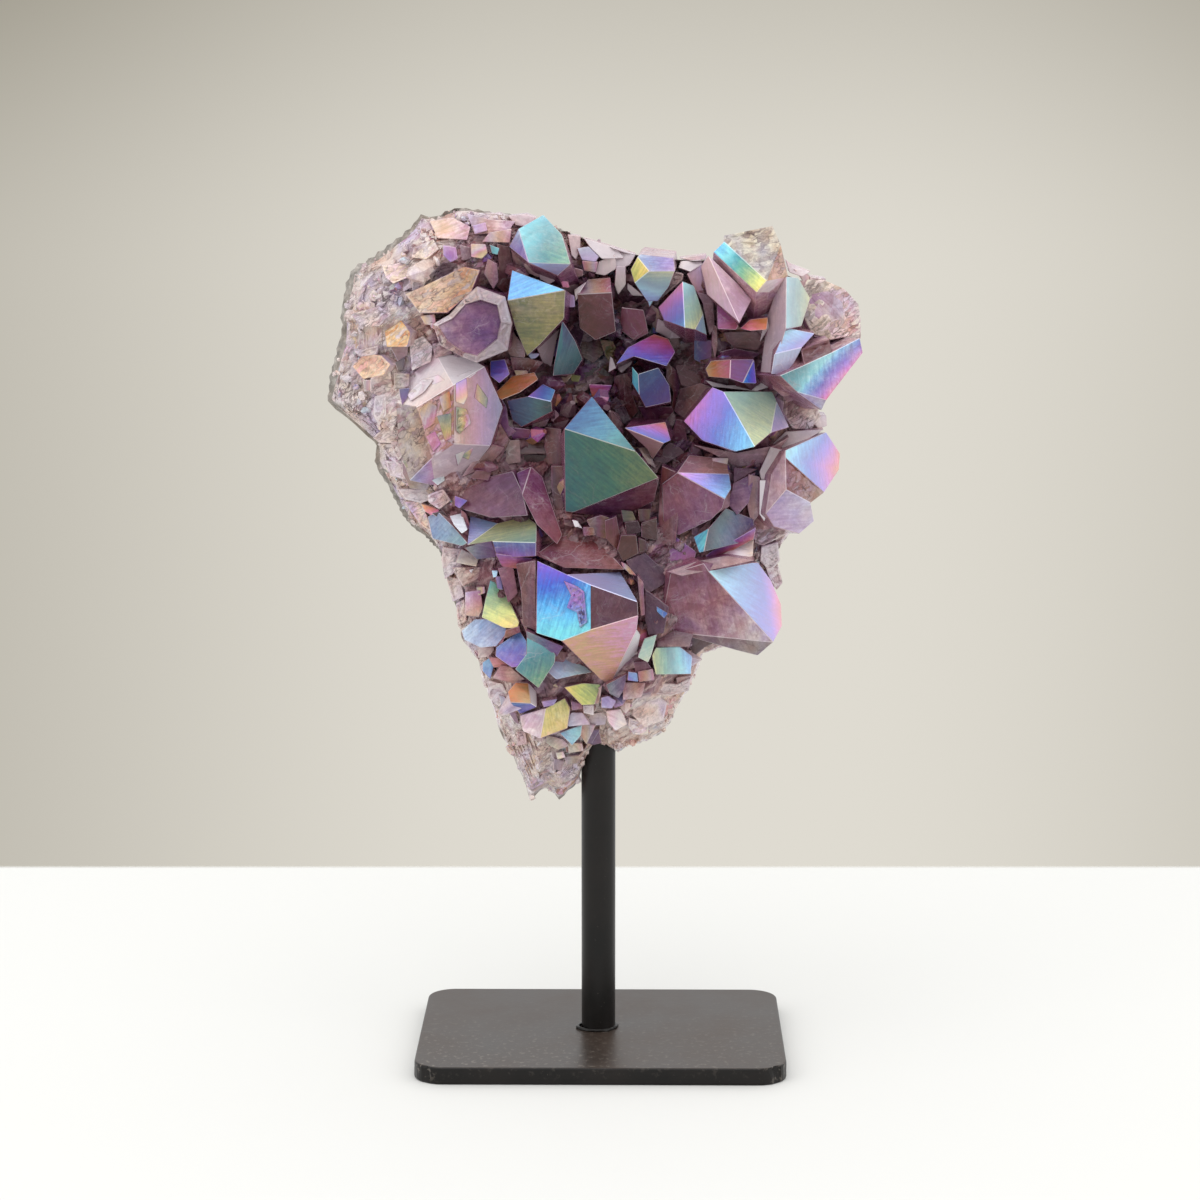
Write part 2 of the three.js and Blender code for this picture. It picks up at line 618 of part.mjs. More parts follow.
// A closed stone: each point of a fine ball is carried out to the outline, and to the front or the
// back. The fraction reach makes the outline smaller or larger.
function ballStone(reach, frontOf, backOf) {
  const ball = new THREE.IcosahedronGeometry(1, wall.fineness);
  ball.deleteAttribute("normal");
  ball.deleteAttribute("uv");
  const geometry = mergeVertices(ball, 1e-4);
  const position = geometry.attributes.position;
  for (let i = 0; i < position.count; i++) {
    const [bx, by, bz] = [position.getX(i), position.getY(i), position.getZ(i)];
    const share = Math.min(1, Math.hypot(bx, bz));
    const [toX, toZ] = share > 0 ? [bx / share, bz / share] : [1, 0];
    const radius = (share * reach) / shareOfOutline(wall.hub[0] + toX, wall.hub[1] + toZ);
    const [x, z] = [wall.hub[0] + toX * radius, wall.hub[1] + toZ * radius];
    const depthOf = by < 0 ? frontOf : backOf;
    const p = place(x, z, depthOf(x, z, share));
    position.setXYZ(i, p.x, p.y, p.z);
  }
  return toSolid(geometry);
}

function rodBore() {
  return uprightCylinder(rod.diameter / 2 + gap, 0, rod.top + gap, rod.sides);
}

function geodeWall() {
  const stone = ballStone(1, frontDepth, backDepth);
  return toMesh("geode_wall", largestBody(stone.subtract(rodBore())), wallStone);
}

// ---- the crystals ----
// Slides each corner along its line of sight until the corners of every face share a plane.
function flatten(corners, faces) {
  const points = corners.map(([x, z, y]) => place(x, z, y));
  for (let round = 0; round < flattenRounds; round++) {
    const moves = points.map(() => []);
    for (const face of faces) {
      const middle = new THREE.Vector3();
      const normal = new THREE.Vector3();
      face.forEach((c, i) => {
        middle.addScaledVector(points[c], 1 / face.length);
        normal.add(new THREE.Vector3().crossVectors(points[c], points[face[(i + 1) % face.length]]));
      });
      for (const c of face) {
        const sight = points[c].clone().sub(eye);
        moves[c].push(normal.dot(middle.clone().sub(eye)) / normal.dot(sight));
      }
    }
    points.forEach((p, c) => {
      if (!moves[c].length) return;
      const mean = moves[c].reduce((sum, k) => sum + k, 0) / moves[c].length;
      p.sub(eye).multiplyScalar(mean).add(eye);
    });
  }
  return points;
}

function largeCrystal({ corners, faces, root }) {
  const tip = flatten(corners, faces);
  const base = tip.map((p) => p.clone().add(new THREE.Vector3(...root)));
  return toSolid(new ConvexGeometry([...tip, ...base]));
}

// Repeatable random numbers between 0 and 1.
function randomFrom(seed) {
  const [factor, modulus] = [16807, 2147483647];
  let state = seed;
  return () => {
    state = (state * factor) % modulus;
    return state / modulus;
  };
}

// A six-sided prism with a six-sided point, growing from the origin along +Z.
function quartzPoint(radius, length) {
  const height = radius / Math.tan(THREE.MathUtils.degToRad(druse.tipAngle));
  const points = [new THREE.Vector3(0, 0, length)];
  for (let i = 0; i < 6; i++) {
    const angle = (i * Math.PI) / 3;
    const x = radius * Math.cos(angle);
    const y = radius * Math.sin(angle);
    points.push(new THREE.Vector3(x, y, length - height), new THREE.Vector3(x, y, -druse.sunk));
  }
  return points;
}

function smallCrystals() {
  const random = randomFrom(druse.seed);
  const between = (low, high) => low + (high - low) * random();
  const solids = [];
  for (const field of druse.fields) {
    for (let i = 0; i < field.count; i++) {
      const x = field.x + field.halfWidth * between(-1, 1);
      const z = field.z + field.halfHeight * between(-1, 1);
      const radius = between(...field.radius);
      const turn = between(0, Math.PI / 3);
      const lean = new THREE.Vector3(between(-1, 1), 0, between(-1, 1)).multiplyScalar(druse.lean);
      const share = shareOfOutline(x, z);
      if (share > druse.reach) continue;
      const axis = new THREE.Vector3(0, -1, 0).add(lean).normalize();
      const upright = new THREE.Quaternion().setFromUnitVectors(new THREE.Vector3(0, 0, 1), axis);
      const foot = place(x, z, frontDepth(x, z, share));
      const points = quartzPoint(radius, radius * between(...druse.length)).map((p) =>
        p.applyAxisAngle(new THREE.Vector3(0, 0, 1), turn).applyQuaternion(upright).add(foot),
      );
      solids.push(toSolid(new ConvexGeometry(points)));
    }
  }
  return solids;
}

function crystalCrust() {
  const liningFront = (x, z, share) => frontDepth(x, z, share) - wall.liningLift;
  const liningBack = (x, z, share) => frontDepth(x, z, share) + wall.liningLift;
  const clearFront = (x, z, share) => frontDepth(x, z, share) - wall.seam;
  const clearBack = (x, z, share) => backDepth(x, z, share) + wall.seam;
  let crust = ballStone(wall.liningReach, liningFront, liningBack);
  for (const solid of smallCrystals()) crust = crust.add(solid);
  for (const crystal of Object.values(crystals)) crust = crust.add(largeCrystal(crystal));
  crust = crust.subtract(ballStone(wall.seamReach, clearFront, clearBack)).subtract(rodBore());
  return toMesh("crystal_crust", largestBody(crust), auraAmethyst);
}

const part = new THREE.Group();
part.add(basePlate(), standRod(), geodeWall(), crystalCrust());
export default part;
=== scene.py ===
# A broken piece of amethyst geode with rainbow-coated crystals, on a black steel stand.
# The dictionaries hold millimetres unless a note says otherwise, and Blender works in metres.
# The crystals face -Y.
import math
import random

import bpy
import numpy as np
from mathutils import Matrix, Vector, noise
from mathutils.bvhtree import BVHTree


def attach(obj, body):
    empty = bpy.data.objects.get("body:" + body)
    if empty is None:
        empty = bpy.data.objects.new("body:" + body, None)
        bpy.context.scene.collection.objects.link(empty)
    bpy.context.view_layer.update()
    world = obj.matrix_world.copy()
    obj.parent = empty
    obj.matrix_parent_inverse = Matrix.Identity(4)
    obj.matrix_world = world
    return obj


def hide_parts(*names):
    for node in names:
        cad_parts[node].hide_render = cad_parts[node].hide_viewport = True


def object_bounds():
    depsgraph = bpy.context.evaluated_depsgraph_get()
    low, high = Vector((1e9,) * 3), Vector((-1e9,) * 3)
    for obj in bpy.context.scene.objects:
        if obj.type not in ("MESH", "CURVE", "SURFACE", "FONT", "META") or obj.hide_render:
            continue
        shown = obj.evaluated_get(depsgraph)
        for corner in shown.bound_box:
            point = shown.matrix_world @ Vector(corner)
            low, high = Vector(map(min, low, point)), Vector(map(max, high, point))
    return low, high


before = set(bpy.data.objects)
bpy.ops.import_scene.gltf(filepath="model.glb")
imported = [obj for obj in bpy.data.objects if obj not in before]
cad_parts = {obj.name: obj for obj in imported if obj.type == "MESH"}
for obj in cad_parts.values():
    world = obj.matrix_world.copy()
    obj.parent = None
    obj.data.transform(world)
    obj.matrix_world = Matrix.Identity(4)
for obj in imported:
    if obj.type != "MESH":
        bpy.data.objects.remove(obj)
cadBox = [list(corner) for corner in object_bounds()]
mm = 0.001
noise.seed_set(1)  # unseeded, noise_vector differs from run to run

# The stone's own shape: place on the stand, outline and the depth of its front and back.
stone = {
    "hub": (-4, 158), "rimDepth": 9, "forward": 6, "fineness": 7,
    "back": {"bulge": 29, "roundness": 2.4, "lumpShift": 40, "lumpHeight": 1.6},
    "hollow": {"x": 8, "z": 196, "radius": 25, "depth": 15},
    "belly": {"x": 4, "z": 124, "width": 26, "height": 24, "rise": 13},
    "brokenEdge": {"width": 17, "fall": 11, "curve": 1.6},
    "lumps": [(1.3, (.19, .11), (-.07, .23)), (.8, (.53, -.31), (.37, .61))],  # height and waves
    "outline": [
        (-39, 235), (-33, 234.5), (-26, 233.5), (-20, 232), (-13, 230), (-7, 227.5), (0, 225),
        (7, 222.5), (16, 221), (25, 220.5), (34, 221), (43, 219), (52, 216), (61, 213), (66, 206),
        (65, 197),
        (60, 188), (58, 177), (60, 168), (57.5, 158), (53, 149), (48.5, 142), (48, 134), (46, 125),
        (41, 118), (34, 115), (28, 113), (26, 107.5), (24, 103), (21, 98), (19.5, 94), (17, 90.5),
        (12, 88.5), (7, 86.5), (4.5, 85), (-1, 88.5), (-5.5, 79.5), (-7, 76), (-11.5, 72.3),
        (-15.5, 75.8), (-19.5, 72), (-21.5, 78), (-24, 83.5), (-27, 89), (-29.5, 97), (-32, 104),
        (-34, 111), (-38.5, 117), (-39.5, 125), (-42.5, 135), (-44, 141), (-47.5, 145), (-53.5, 150),
        (-57, 157), (-62, 166), (-61.5, 171), (-66.5, 176), (-75, 183), (-73.5, 191), (-70.5, 200),
        (-70.3, 209), (-67.5, 218.5), (-60.5, 222.5), (-53, 228), (-48.5, 233.3), (-45, 232.5)],
}
eye = Vector((8.6, -844, 262.7))  # the corners of the crystals are listed as seen from here,
listPlane = -8                    # by the place where they line up on this plane
rod = {"x": -.8, "diameter": 9.5, "bottom": 5.1, "top": 110, "sides": 64, "edge": .5,
       "edgeParts": 3, "weldRadius": .5, "weldParts": (72, 12), "weldLump": .6, "lumpSize": 2,
       "weldDrop": 1.1, "dropWay": (-.96, -.28, 0), "dropNarrow": 9, "weldGap": .02}
plate = {"size": (101.6, 76.2, 4.8), "corner": 8, "cornerParts": 12, "edge": .6, "edgeParts": 3,
         "chip": 1.4, "chipSize": 1.7, "chipInset": 2.5, "chipReach": 7}

# The colours of a thin film, in the order in which they come as it gets thicker.
filmStops = [
    ("silver", 0, "cfc6d2"), ("gold", .07, "dcb878"), ("amber", .13, "d9813f"), ("rose", .2, "d0608c"),
    ("magenta", .26, "bb5cb8"), ("violet", .33, "8459cc"), ("royal", .41, "3f5cc4"),
    ("azure", .48, "3f8ed2"), ("sky", .54, "5fb6e6"), ("cyan", .6, "74d3de"), ("teal", .67, "2f939c"),
    ("sea", .73, "4d9f86"), ("sage", .79, "8fae76"), ("lime", .84, "c3cb70"), ("yellow", .89, "e6d070"),
    ("peach", .93, "e2a474"), ("pink", .97, "e08fc0"), ("pale", 1, "cfc6d2")]
filmAt = {word: value for word, value, colour in filmStops}

# Each large crystal: its corners (x z y, with x and z as lined up from the eye), the faces of its tip,
# each face's film (from, to, the way it changes in degrees from +X towards +Z, how much of it shows,
# paler above 0 or darker below it, which is partly the face's own colour and partly painted light and
# shade for the way the face meets the light, and where the change is not even, its curve), how the
# corners move into the stone, and which faces are broken rough.
crystals = {
    "central": ("-2.5 184 -8, -10 175.2 -16, 9.5 169 -20, 15.6 161.8 -20, -7.6 152.3 -11, "
        "-9.8 152.6 -10", "0 1 2, 1 2 3 4 5", "azure teal -40 1 -.68, teal sage 10 .95 -.68",
        "-3 26 -7"),
    "upperBlue": ("-24 218 -4, -25.3 209.8 -10, -9.6 212.6 -12, -10 205 -9, -17 197.5 -4, -20 195 -2, "
        "-23 202 -5", "0 1 2, 1 2 3 4 5 6", "azure sky -10 1 .1, sage lime -30 .4 -.1", "2 24 -3"),
    "topTeal": ("-22.2 229 -2, -15.5 232.8 2, -10.5 227.5 -3, -8.2 219.6 -9, -19.5 220 -10, "
        "-11.8 216.5 -6, -24.7 224.3 -3", "0 1 2 3 4, 3 4 5, 0 4 6", "cyan sea -30 .75 -.02, "
        "azure royal -60 .7 .3, violet sky 80 .5 -.12", "3 22 -8"),
    "yellowTop": ("9.8 221.5 2, 7.9 218 0, 9 214.5 0, 12.3 209.7 2, 15.3 209.6 2, 18.3 213.5 -1, "
        "19.9 217.8 -4, 12.9 217.7 -5, 19.5 221.2 1, 10.8 222.3 4", "0 1 2 7, 2 7 6 5 4 3, 9 0 7 6 8",
        "lime yellow 0 .95 0, azure lime 80 .95 .35, sky violet 0 .5 .05", "1 20 1"),
    "violetPair": ("21.9 215 -4, 15.4 208 0, 17 204.5 -1, 22.6 202.5 -9, 25 213.8 0, 27.5 206.3 -3, "
        "25.3 202 -7, 28.5 200.5 -2", "0 1 2 3, 0 3 6 5 4, 5 6 7", "rose sky -45 1 .18, "
        "cyan lime -60 .95 .25, azure cyan 0 .6 .25", "1 22 -7"),
    "pinkRidge": ("28.8 222 -2, 26.8 219 1, 28.5 211.5 -2, 37.3 203.8 -10, 36.8 214.3 -2, 40.5 210 -4",
        "1 0 3 2, 0 4 5 3", "amber magenta -50 .6 .4, rose magenta -60 .35 .25", "0 20 -3"),
    "topRight": ("30.1 222.8 2, 33 225.6 0, 33 227.3 3, 46 229.9 4, 48.2 225 2, 50.3 216.3 -2, "
        "44.5 215.2 -8, 41.8 212 -7, 45 212 -6", "1 2 3 4 6, 4 5 6, 0 1 6 7, 6 5 8 7",
        "sage sage 0 .25 -.15, amber gold 0 .5 -.25, sky yellow -35 .9 0, gold peach 0 .6 .4",
        "-1 17 -16", "0 1"),
    "rightTall": ("49.8 216.3 -4, 53 216 0, 56.3 210.5 0, 54 203 -3, 49.8 202.3 -10, 47.8 215 -1, "
        "44.8 205.5 2, 43 190.5 -4, 46.5 190.3 -9", "0 1 2 3 4, 0 4 8 7 6 5", "cyan lime 0 .85 .4, "
        "rose magenta 0 .2 .42", "0 22 -8"),
    "rightShelf": ("49.9 202.5 -8, 57.6 201 -4, 54.3 197.3 -8, 50.5 190 -9, 46 190 -10, "
        "46.8 195.5 -11", "0 1 2 5, 5 2 3 4", "cyan violet -60 .9 .35, sky violet -60 .6 .4",
        "-1 18 2"),
    "brokenEnd": ("53.5 211 1, 55.5 215.5 3, 60 215.4 3, 65.5 213 4, 69.3 209 5, 70 205 4, "
        "69.8 200.8 3, 62 199.3 -1, 57 201 -2, 54.2 206 -1", "0 1 2 3 4 5 6 7 8 9",
        "sage silver 0 .25 .02", "-9 17 -3", "0"),
    "redBlock": ("54 196.7 -8, 61.5 199.4 -6, 62.3 196 -7, 55 192.2 -9", "0 1 2 3",
        "rose rose 0 .3 -.68", "-2 14 2", "0"),
    "rightFan": ("48.3 189.6 -11, 54.5 192.3 -10, 62.5 196 -8, 69.8 199.8 -5, 70.7 195.8 -4, "
        "61 183 -8, 59.8 180.3 -5, 52.8 185.3 -12", "0 1 2 3 4 5 7, 7 5 6",
        "teal amber -40 .7 -.05 2.5, violet azure 0 .4 .05", "-13 22 -1"),
    "rightPair": ("30 186.5 -7, 33.1 185.3 -10, 41.7 170.3 -20, 36.5 169 -16, 27.5 172 -9, "
        "22.4 177.3 -5, 46.2 185.3 -4, 47.5 182.7 -4, 46 174 -13, 51 175.6 -6", "0 1 2 3 4 5, "
        "1 6 7 8 2, 7 9 8", "magenta cyan -25 1 .12, lime sea 85 .85 .25, violet sky 90 .5 .25",
        "-3 26 -3"),
    "pinkWedge": ("6.4 175.4 -9, 17.4 177 -4, 18.9 172 -6, 17 171.2 -9, 14 166.8 -3, 12.6 169.5 -5",
        "0 1 2 3, 0 3 4 5", "azure amber 70 1 .15, rose amber -90 .6 .35", "2 16 1"),
    "farRight": ("50 169.3 -12, 50 167.3 -13, 61 174.3 -2, 64.9 168.5 0, 64.6 164 -1, 60.6 157.8 -7, "
        "50.3 158.6 -14, 57 155 -9, 44.8 152 -12, 58 150 -6, 47 148.5 -10, 54 146.5 -6, 46.3 163 -10",
        "0 2 3 4 5 1, 1 5 7 6, 6 7 9 11 10 8, 0 1 6 8 12", "cyan amber -10 1 .35 2.2, "
        "rose amber 0 .35 -.48, violet royal 60 .4 .15, violet rose 0 .1 .1", "-8 24 -3", "1"),
    "mauveMid": ("20.7 163.2 -12, 34.8 162.8 -10, 35.4 159 -12, 33.7 156 -16, 33 153.5 -15, "
        "30.2 150.5 -14, 21 146 -11, 17 150 -9, 16.5 160 -9, 24 168 -4, 34 167 -5", "0 1 2 3, "
        "0 3 4 5 6 7 8, 0 9 10 1, 8 9 0", "magenta sky -45 1 .2, rose violet -30 .14 -.15, "
        "rose amber 0 .2 .12, violet magenta 0 .1 0", "-3 24 -3"),
    "slate": ("33.8 153.5 -8, 41.5 150.5 -8, 42 145 -12, 28 141.5 -17, 29.3 148 -16, 25.2 145.6 -13, "
        "26.7 141.3 -16", "0 1 2 3 4, 4 3 6 5", "teal violet -20 .4 -.5, sky cyan 0 .95 0", "3 20 -1"),
    "plumLow": ("15.5 143.5 -9, 20 146 -9, 26 141.5 -12, 25 137.5 -13, 19 136 -12, 15 138.5 -10",
        "0 1 2 3 4 5", "violet amber -80 .45 -.32 2", "0 15 0"),
    "purpleRoof": ("4 192.6 -2, 7.2 197.2 1, 14.3 200.8 2, 18.2 199.5 2, 20 196 0, 17.7 192.2 -4, "
        "9 194.8 -5", "0 1 2 3 4 5 6", "royal amber 75 .9 -.35 2", "0 16 -3"),
    "darkBlue": ("8.4 192 -3, 8.4 187.5 -2, 10.3 184.3 -5, 10 190 -6, 15.5 191.8 -4, 18.5 187 -3, "
        "19 182.5 -5, 12 181 -4", "0 1 2 3, 3 2 7 6 5 4", "cyan sky -90 1 0, "
        "azure violet -45 .75 -.72", "0 16 -3"),
    "amber": ("28.2 191.3 -4, 29.7 193.6 -2, 35 194 -5, 41.3 194 -4, 42 187.5 -6, 38.3 187.6 -8, "
        "34.8 188.8 -8, 29 189.3 -6", "0 1 2 6 7, 2 3 5 6, 3 4 5", "gold rose 0 .9 -.6, "
        "magenta violet 0 .7 -.65, azure violet 0 1 0", "0 16 1"),
    "orangeChip": ("37.5 202.3 -5, 40 204.7 -3, 45 205.3 -3, 44.6 202 -5, 40 201.7 -6", "0 1 2 3 4",
        "rose amber 60 .9 -.25", "0 14 1"),
    "purpleChip": ("31.2 208.6 -1, 33.2 209.6 0, 37 203 -4, 36.4 202 -5, 31.4 202.2 -3", "0 1 2 3 4",
        "magenta rose 0 .5 -.3", "0 15 0"),
    "darkPrism": ("-6.4 211.5 1, 2.9 212 0, 4 201.5 2, -1.5 199.2 1, -5.8 202.5 3, -3.5 215.5 6, "
        "2.5 216 6", "0 1 2 3 4, 0 1 6 5", "amber rose 0 .15 -.55, peach rose 0 .3 .05", "0 16 -2"),
    "wineColumn": ("5.5 208 5, 11.5 207.3 4, 12.8 201 4, 9 199 6, 5 202 6", "0 1 2 3 4",
        "rose rose 0 .35 -.55", "0 15 0"),
    "smallBlue": ("-15.8 187.3 -3, -12.4 185.7 -3, -13.5 182.6 -9, -19.8 184 -8, -25.5 182.8 -3, "
        "-24 177.5 -3, -21.5 175.6 -4, -13.2 179.8 -7", "0 1 2 3, 3 2 7 6 5 4",
        "violet azure -20 1 .1, royal teal 0 .75 -.8", "1 18 -5"),
    "indigo": ("-30 193.5 -4, -26 194 -4, -24.7 190 -5, -27.5 187.5 -7, -30 189.5 -6", "0 1 2 3 4",
        "royal violet -30 .95 -.5", "0 15 0"),
    "amberLeft": ("-29 184.5 -5, -24 189.5 -3, -18 190.5 -2, -17 188.5 -4, -22 185 -7, -27 183 -6",
        "0 1 2 3 4 5", "amber amber 30 .65 -.35", "0 15 -2"),
    "tealSliver": ("-10.5 204.5 -2, -12.8 192 -2, -13 189.5 -1, -10.5 197 -6, -7 199 -2, -5 194 -1, "
        "-7.5 190 -3", "0 3 2 1, 0 4 5 6 2 3", "cyan teal -90 .95 -.75, azure teal -60 .45 -.6",
        "1 18 -2"),
    "bigLow": ("-17.5 139 -18, -9.3 135.2 -24, 5.3 135.9 -20, 10 127.7 -22, -3 132.4 -28, "
        "-3 119.8 -30, -10.8 116.8 -26, -17.8 119 -22, 10.2 123.8 -23, 9.8 120 -23, 2.6 105 -19, "
        "10.8 118.5 -19, 9.5 112 -17, .8 105 -20", "0 1 4 5 6 7, 1 2 3 4, 4 3 8 5, 6 5 8 9 10 13, "
        "9 11 12 10", "cyan violet 90 .95 0 6, violet azure -35 1 .42, rose violet 0 .12 -.65, "
        "peach pink 30 .9 .2 5, silver silver 0 .5 1", "-3 28 -4"),
    "brownCentre": ("-18 140.5 -14, -11 145.5 -10, -4.5 147.5 -8, 0 143.5 -11, 6.5 136.5 -17, "
        "-10 137 -20", "0 1 2 3 4 5", "rose amber 0 .12 -.15", "0 18 3"),
    "lowRight": ("29.5 136 -22, 42.8 138.6 -10, 46.5 133.5 -9, 49.3 127 -9, 49.6 121 -11, "
        "47.2 116.5 -17, 43 112.8 -15, 37 114.3 -17, 20 119.2 -18, 17.3 126 -15, 19 135.5 -15, "
        "28 138.3 -18", "0 1 2 3 4 5, 0 5 8 9 10 11, 5 6 7 8, 0 11 1", "cyan amber 5 1 .4 3, "
        "rose violet -30 .14 -.22, violet magenta 0 .1 -.6, violet magenta 0 .1 0", "-9 25 2"),
    "smallGreen": ("15 115 -17, 21.5 115.3 -16, 25 112.6 -14, 24.7 107.6 -15, 15 107.4 -18, "
        "13.9 112.8 -18", "0 1 2 3 4 5", "lime azure 10 .85 .2", "-1 17 -1"),
    "smallYellow": ("11.8 117.4 -20, 15.3 118.6 -18, 13.8 112.8 -22, 12.9 110.8 -21, 10 112.3 -20",
        "0 1 2 3 4", "sea lime -60 .85 .3", "0 15 0"),
    "lowTealLeft": ("-28.8 115 -13, -22.3 119.5 -12, -20.3 116.5 -16, -20.5 110 -17, -24.5 109.3 -15, "
        "-29 112.5 -12", "0 1 2 3 4 5", "azure amber -90 .65 -.05 2.5", "2 16 0"),
    "lowTeal": ("-20.4 119 -17, -15 116 -21, -12.5 113 -20, -12.8 110.5 -20, -17.2 103.6 -20, "
        "-23.6 108.8 -16, -20.5 113 -18", "0 1 2 3 4 5 6", "cyan sage -60 .7 0", "2 18 1"),
    "lowTealRight": ("-12.5 113 -17, -10.5 115.7 -15, -2.5 108 -14, -6.5 107.3 -17, -12.3 106 -19, "
        "-14.5 108 -18", "0 1 2 3 4 5", "azure teal -30 .5 .2", "0 16 1"),
    "lowOrange": ("-25.7 102.5 -13, -23.5 105.2 -12, -20 105 -14, -17.8 102.5 -12, -17.7 98.3 -13, "
        "-19.3 99.3 -17, -25 99.6 -16, -22.3 96.3 -14", "0 1 2 5 6, 2 3 4 5, 6 5 4 7",
        "amber gold -20 .9 -.4, gold gold 0 .6 .9, azure violet -60 .8 0", "2 16 0"),
    "lowLime": ("-10.2 103.8 -17, -5 105 -15, 0 104.7 -14, -1.8 99 -16, -5.3 98.8 -18", "0 1 2 3 4",
        "yellow sage 30 .9 -.18", "0 16 0"),
    "lowGold": ("-22.5 95.8 -12, -15.3 97.9 -16, -16.8 89.4 -16, -21.5 91.5 -12, -10 100.8 -12, "
        "-8.5 98 -13, -9.3 92.3 -15", "0 1 2 3, 1 4 5 6 2", "pink silver 0 .3 .08, "
        "lime peach -80 .7 -.08", "3 16 1"),
    "lowIce": ("-11.5 91 -13, -5.2 93.4 -12, -5.6 90.2 -13, -8 87.5 -14", "0 1 2 3",
        "sky cyan 0 .7 -.22", "1 14 2"),
    "leftYellow": ("-30 135.3 -8, -28 134.5 -7, -22.4 122 -14, -22.8 120.2 -15, -26.5 120.3 -16, "
        "-32.7 123.3 -12, -31.5 129 -10", "0 1 2 3 4 5 6", "cyan yellow -70 .85 .05 .35", "4 18 0"),
    "leftPale": ("-38.3 119.5 -5, -34.5 122.8 -6, -27 122.8 -10, -25.3 119.8 -12, -28.7 115.3 -13, "
        "-33 114.8 -9, -37.5 117 -6", "0 1 2 3 4 5 6", "sky azure -30 .5 .02", "4 16 1"),
    "leftTeal": ("-47.3 151 -4, -44.5 152.5 -4, -40 148 -9, -36.5 143.8 -12, -38 143 -11, -46 145 -5",
        "0 1 2 3 4 5", "azure cyan -30 .6 -.4", "6 16 1"),
    "leftIce": ("-41.3 151.2 -7, -38 152 -7, -36.4 147.5 -11, -38 146.4 -12, -40.3 149 -10",
        "0 1 2 3 4", "sky cyan 0 .8 .75", "2 14 0"),
    "greenBand": ("-36.5 143.2 -10, -28 149.3 -9, -20.5 151.2 -10, -17.6 149 -13, -17.7 144 -19, "
        "-29.7 144.3 -16, -28.3 139.6 -16, -17.8 140.2 -19, -35.7 151.3 -5", "0 1 2 3 4 5, 5 4 7 6, "
        "8 1 0", "lime teal -75 .75 .15, azure amber -90 .5 -.2, royal sky 0 .6 .15", "3 20 -1"),
    "brownLeft": ("-38 158 -6, -31 162 -5, -24 163.5 -7, -21.5 158 -13, -20 151.4 -15, -30 150.8 -12, "
        "-37.5 153 -8", "0 1 2 3 4 5 6", "rose violet 0 .15 -.45", "2 18 0"),
    "mauvePrism": ("-23 163 -7, -19 164.8 -6, -16 162 -7, -13 153 -9, -10.6 146 -12, -12 143.5 -14, "
        "-17.5 149 -16, -21.5 157 -13", "0 1 7, 1 2 3 4 5 6 7", "violet magenta 0 .2 -.25, "
        "magenta rose 0 .15 -.12", "1 18 0"),
    "leftMauve": ("-45 196 -5, -36 194.5 -6, -31.5 192 -5, -26.6 181 -5, -30 170.5 -7, -36 163 -6, "
        "-45 159.5 -5, -52 161 -4, -55 170 -4, -55.5 182 -4, -52 189 -4, -40 187 -12, -40 171 -14, "
        "-50 181 -9, -46 167 -10", "2 3 4 12 11, 0 1 2 11, 4 5 6 14 12, 9 13 14 7 8, 10 0 11 13 9, "
        "11 12 14 13, 6 7 14", "silver azure 0 .3 .22, pink silver 0 .15 .9, rose violet 0 .12 .4, "
        "pink amber 0 .3 -.42, peach amber -60 .5 .55, peach pink -60 .3 -.12, azure magenta 0 .45 .1",
        "3 18 -1", "3 5"),
    "darkPlate": ("-44 203 -12, -40 205 -12, -36.5 208.8 -11, -32.5 210 -11, -28 208.6 -12, "
        "-27 204 -13, -28 199.5 -14, -33.5 195 -14, -37 195.8 -14, -41.5 199 -13",
        "0 1 2 3 4 5 6 7 8 9", "royal violet 0 .18 -.12", "1 20 0"),
    "plateRim": ("-44 203 -13, -40 205 -13, -36.5 208.8 -12, -32.5 210 -12, -28 208.6 -13, "
        "-27 204 -14, -28 199.5 -15, -33.5 195 -15, -37 195.8 -15, -41.5 199 -14, -45.4 203.4 -10, "
        "-41 206 -10, -37 210.4 -9, -33.4 213.6 -9, -25.8 210.8 -10, -24 203.6 -11, -25.2 196.4 -12, "
        "-33.6 193 -12, -37.6 194.6 -12, -43.6 197.8 -11", "0 1 11 10, 1 2 12 11, 2 3 13 12, "
        "3 4 14 13, 4 5 15 14, 5 6 16 15, 6 7 17 16, 7 8 18 17, 8 9 19 18, 9 0 10 19",
        "peach gold 0 .3 .65, gold gold 0 .4 .4, gold gold 0 .3 .3, silver silver 0 .2 .35, "
        "silver sky 0 .2 .5, pink silver 0 .2 .35, pink silver 0 .2 .45, silver silver 0 .15 .45, "
        "silver silver 0 .15 .05, peach silver 0 .2 -.2", "1 18 0", "0 1 2 3 4 5 6 7 8 9"),
    "goldLedge": ("-52.8 211.5 -6, -49 206.5 -10, -41.5 206.5 -11, -35 212 -9, -32.5 218 -5, "
        "-37 219 -3, -45 215 -5", "0 1 2 3 4 5 6", "gold gold 35 .6 -.25", "2 18 -2", "0"),
    "goldPatch": ("-58.5 201.5 -3, -54 204.5 -4, -51.5 201 -8, -52.5 197.3 -9, -58 197.3 -6",
        "0 1 2 3 4", "gold gold 0 .85 0", "5 15 0", "0"),
    "peachPatch": ("-67.3 192 0, -64 195.6 -1, -59.5 195 -4, -57 192.5 -6, -59 189.6 -6, "
        "-64.5 188.6 -3", "0 1 2 3 4 5", "amber gold 0 .7 .1", "7 13 0", "0"),
}
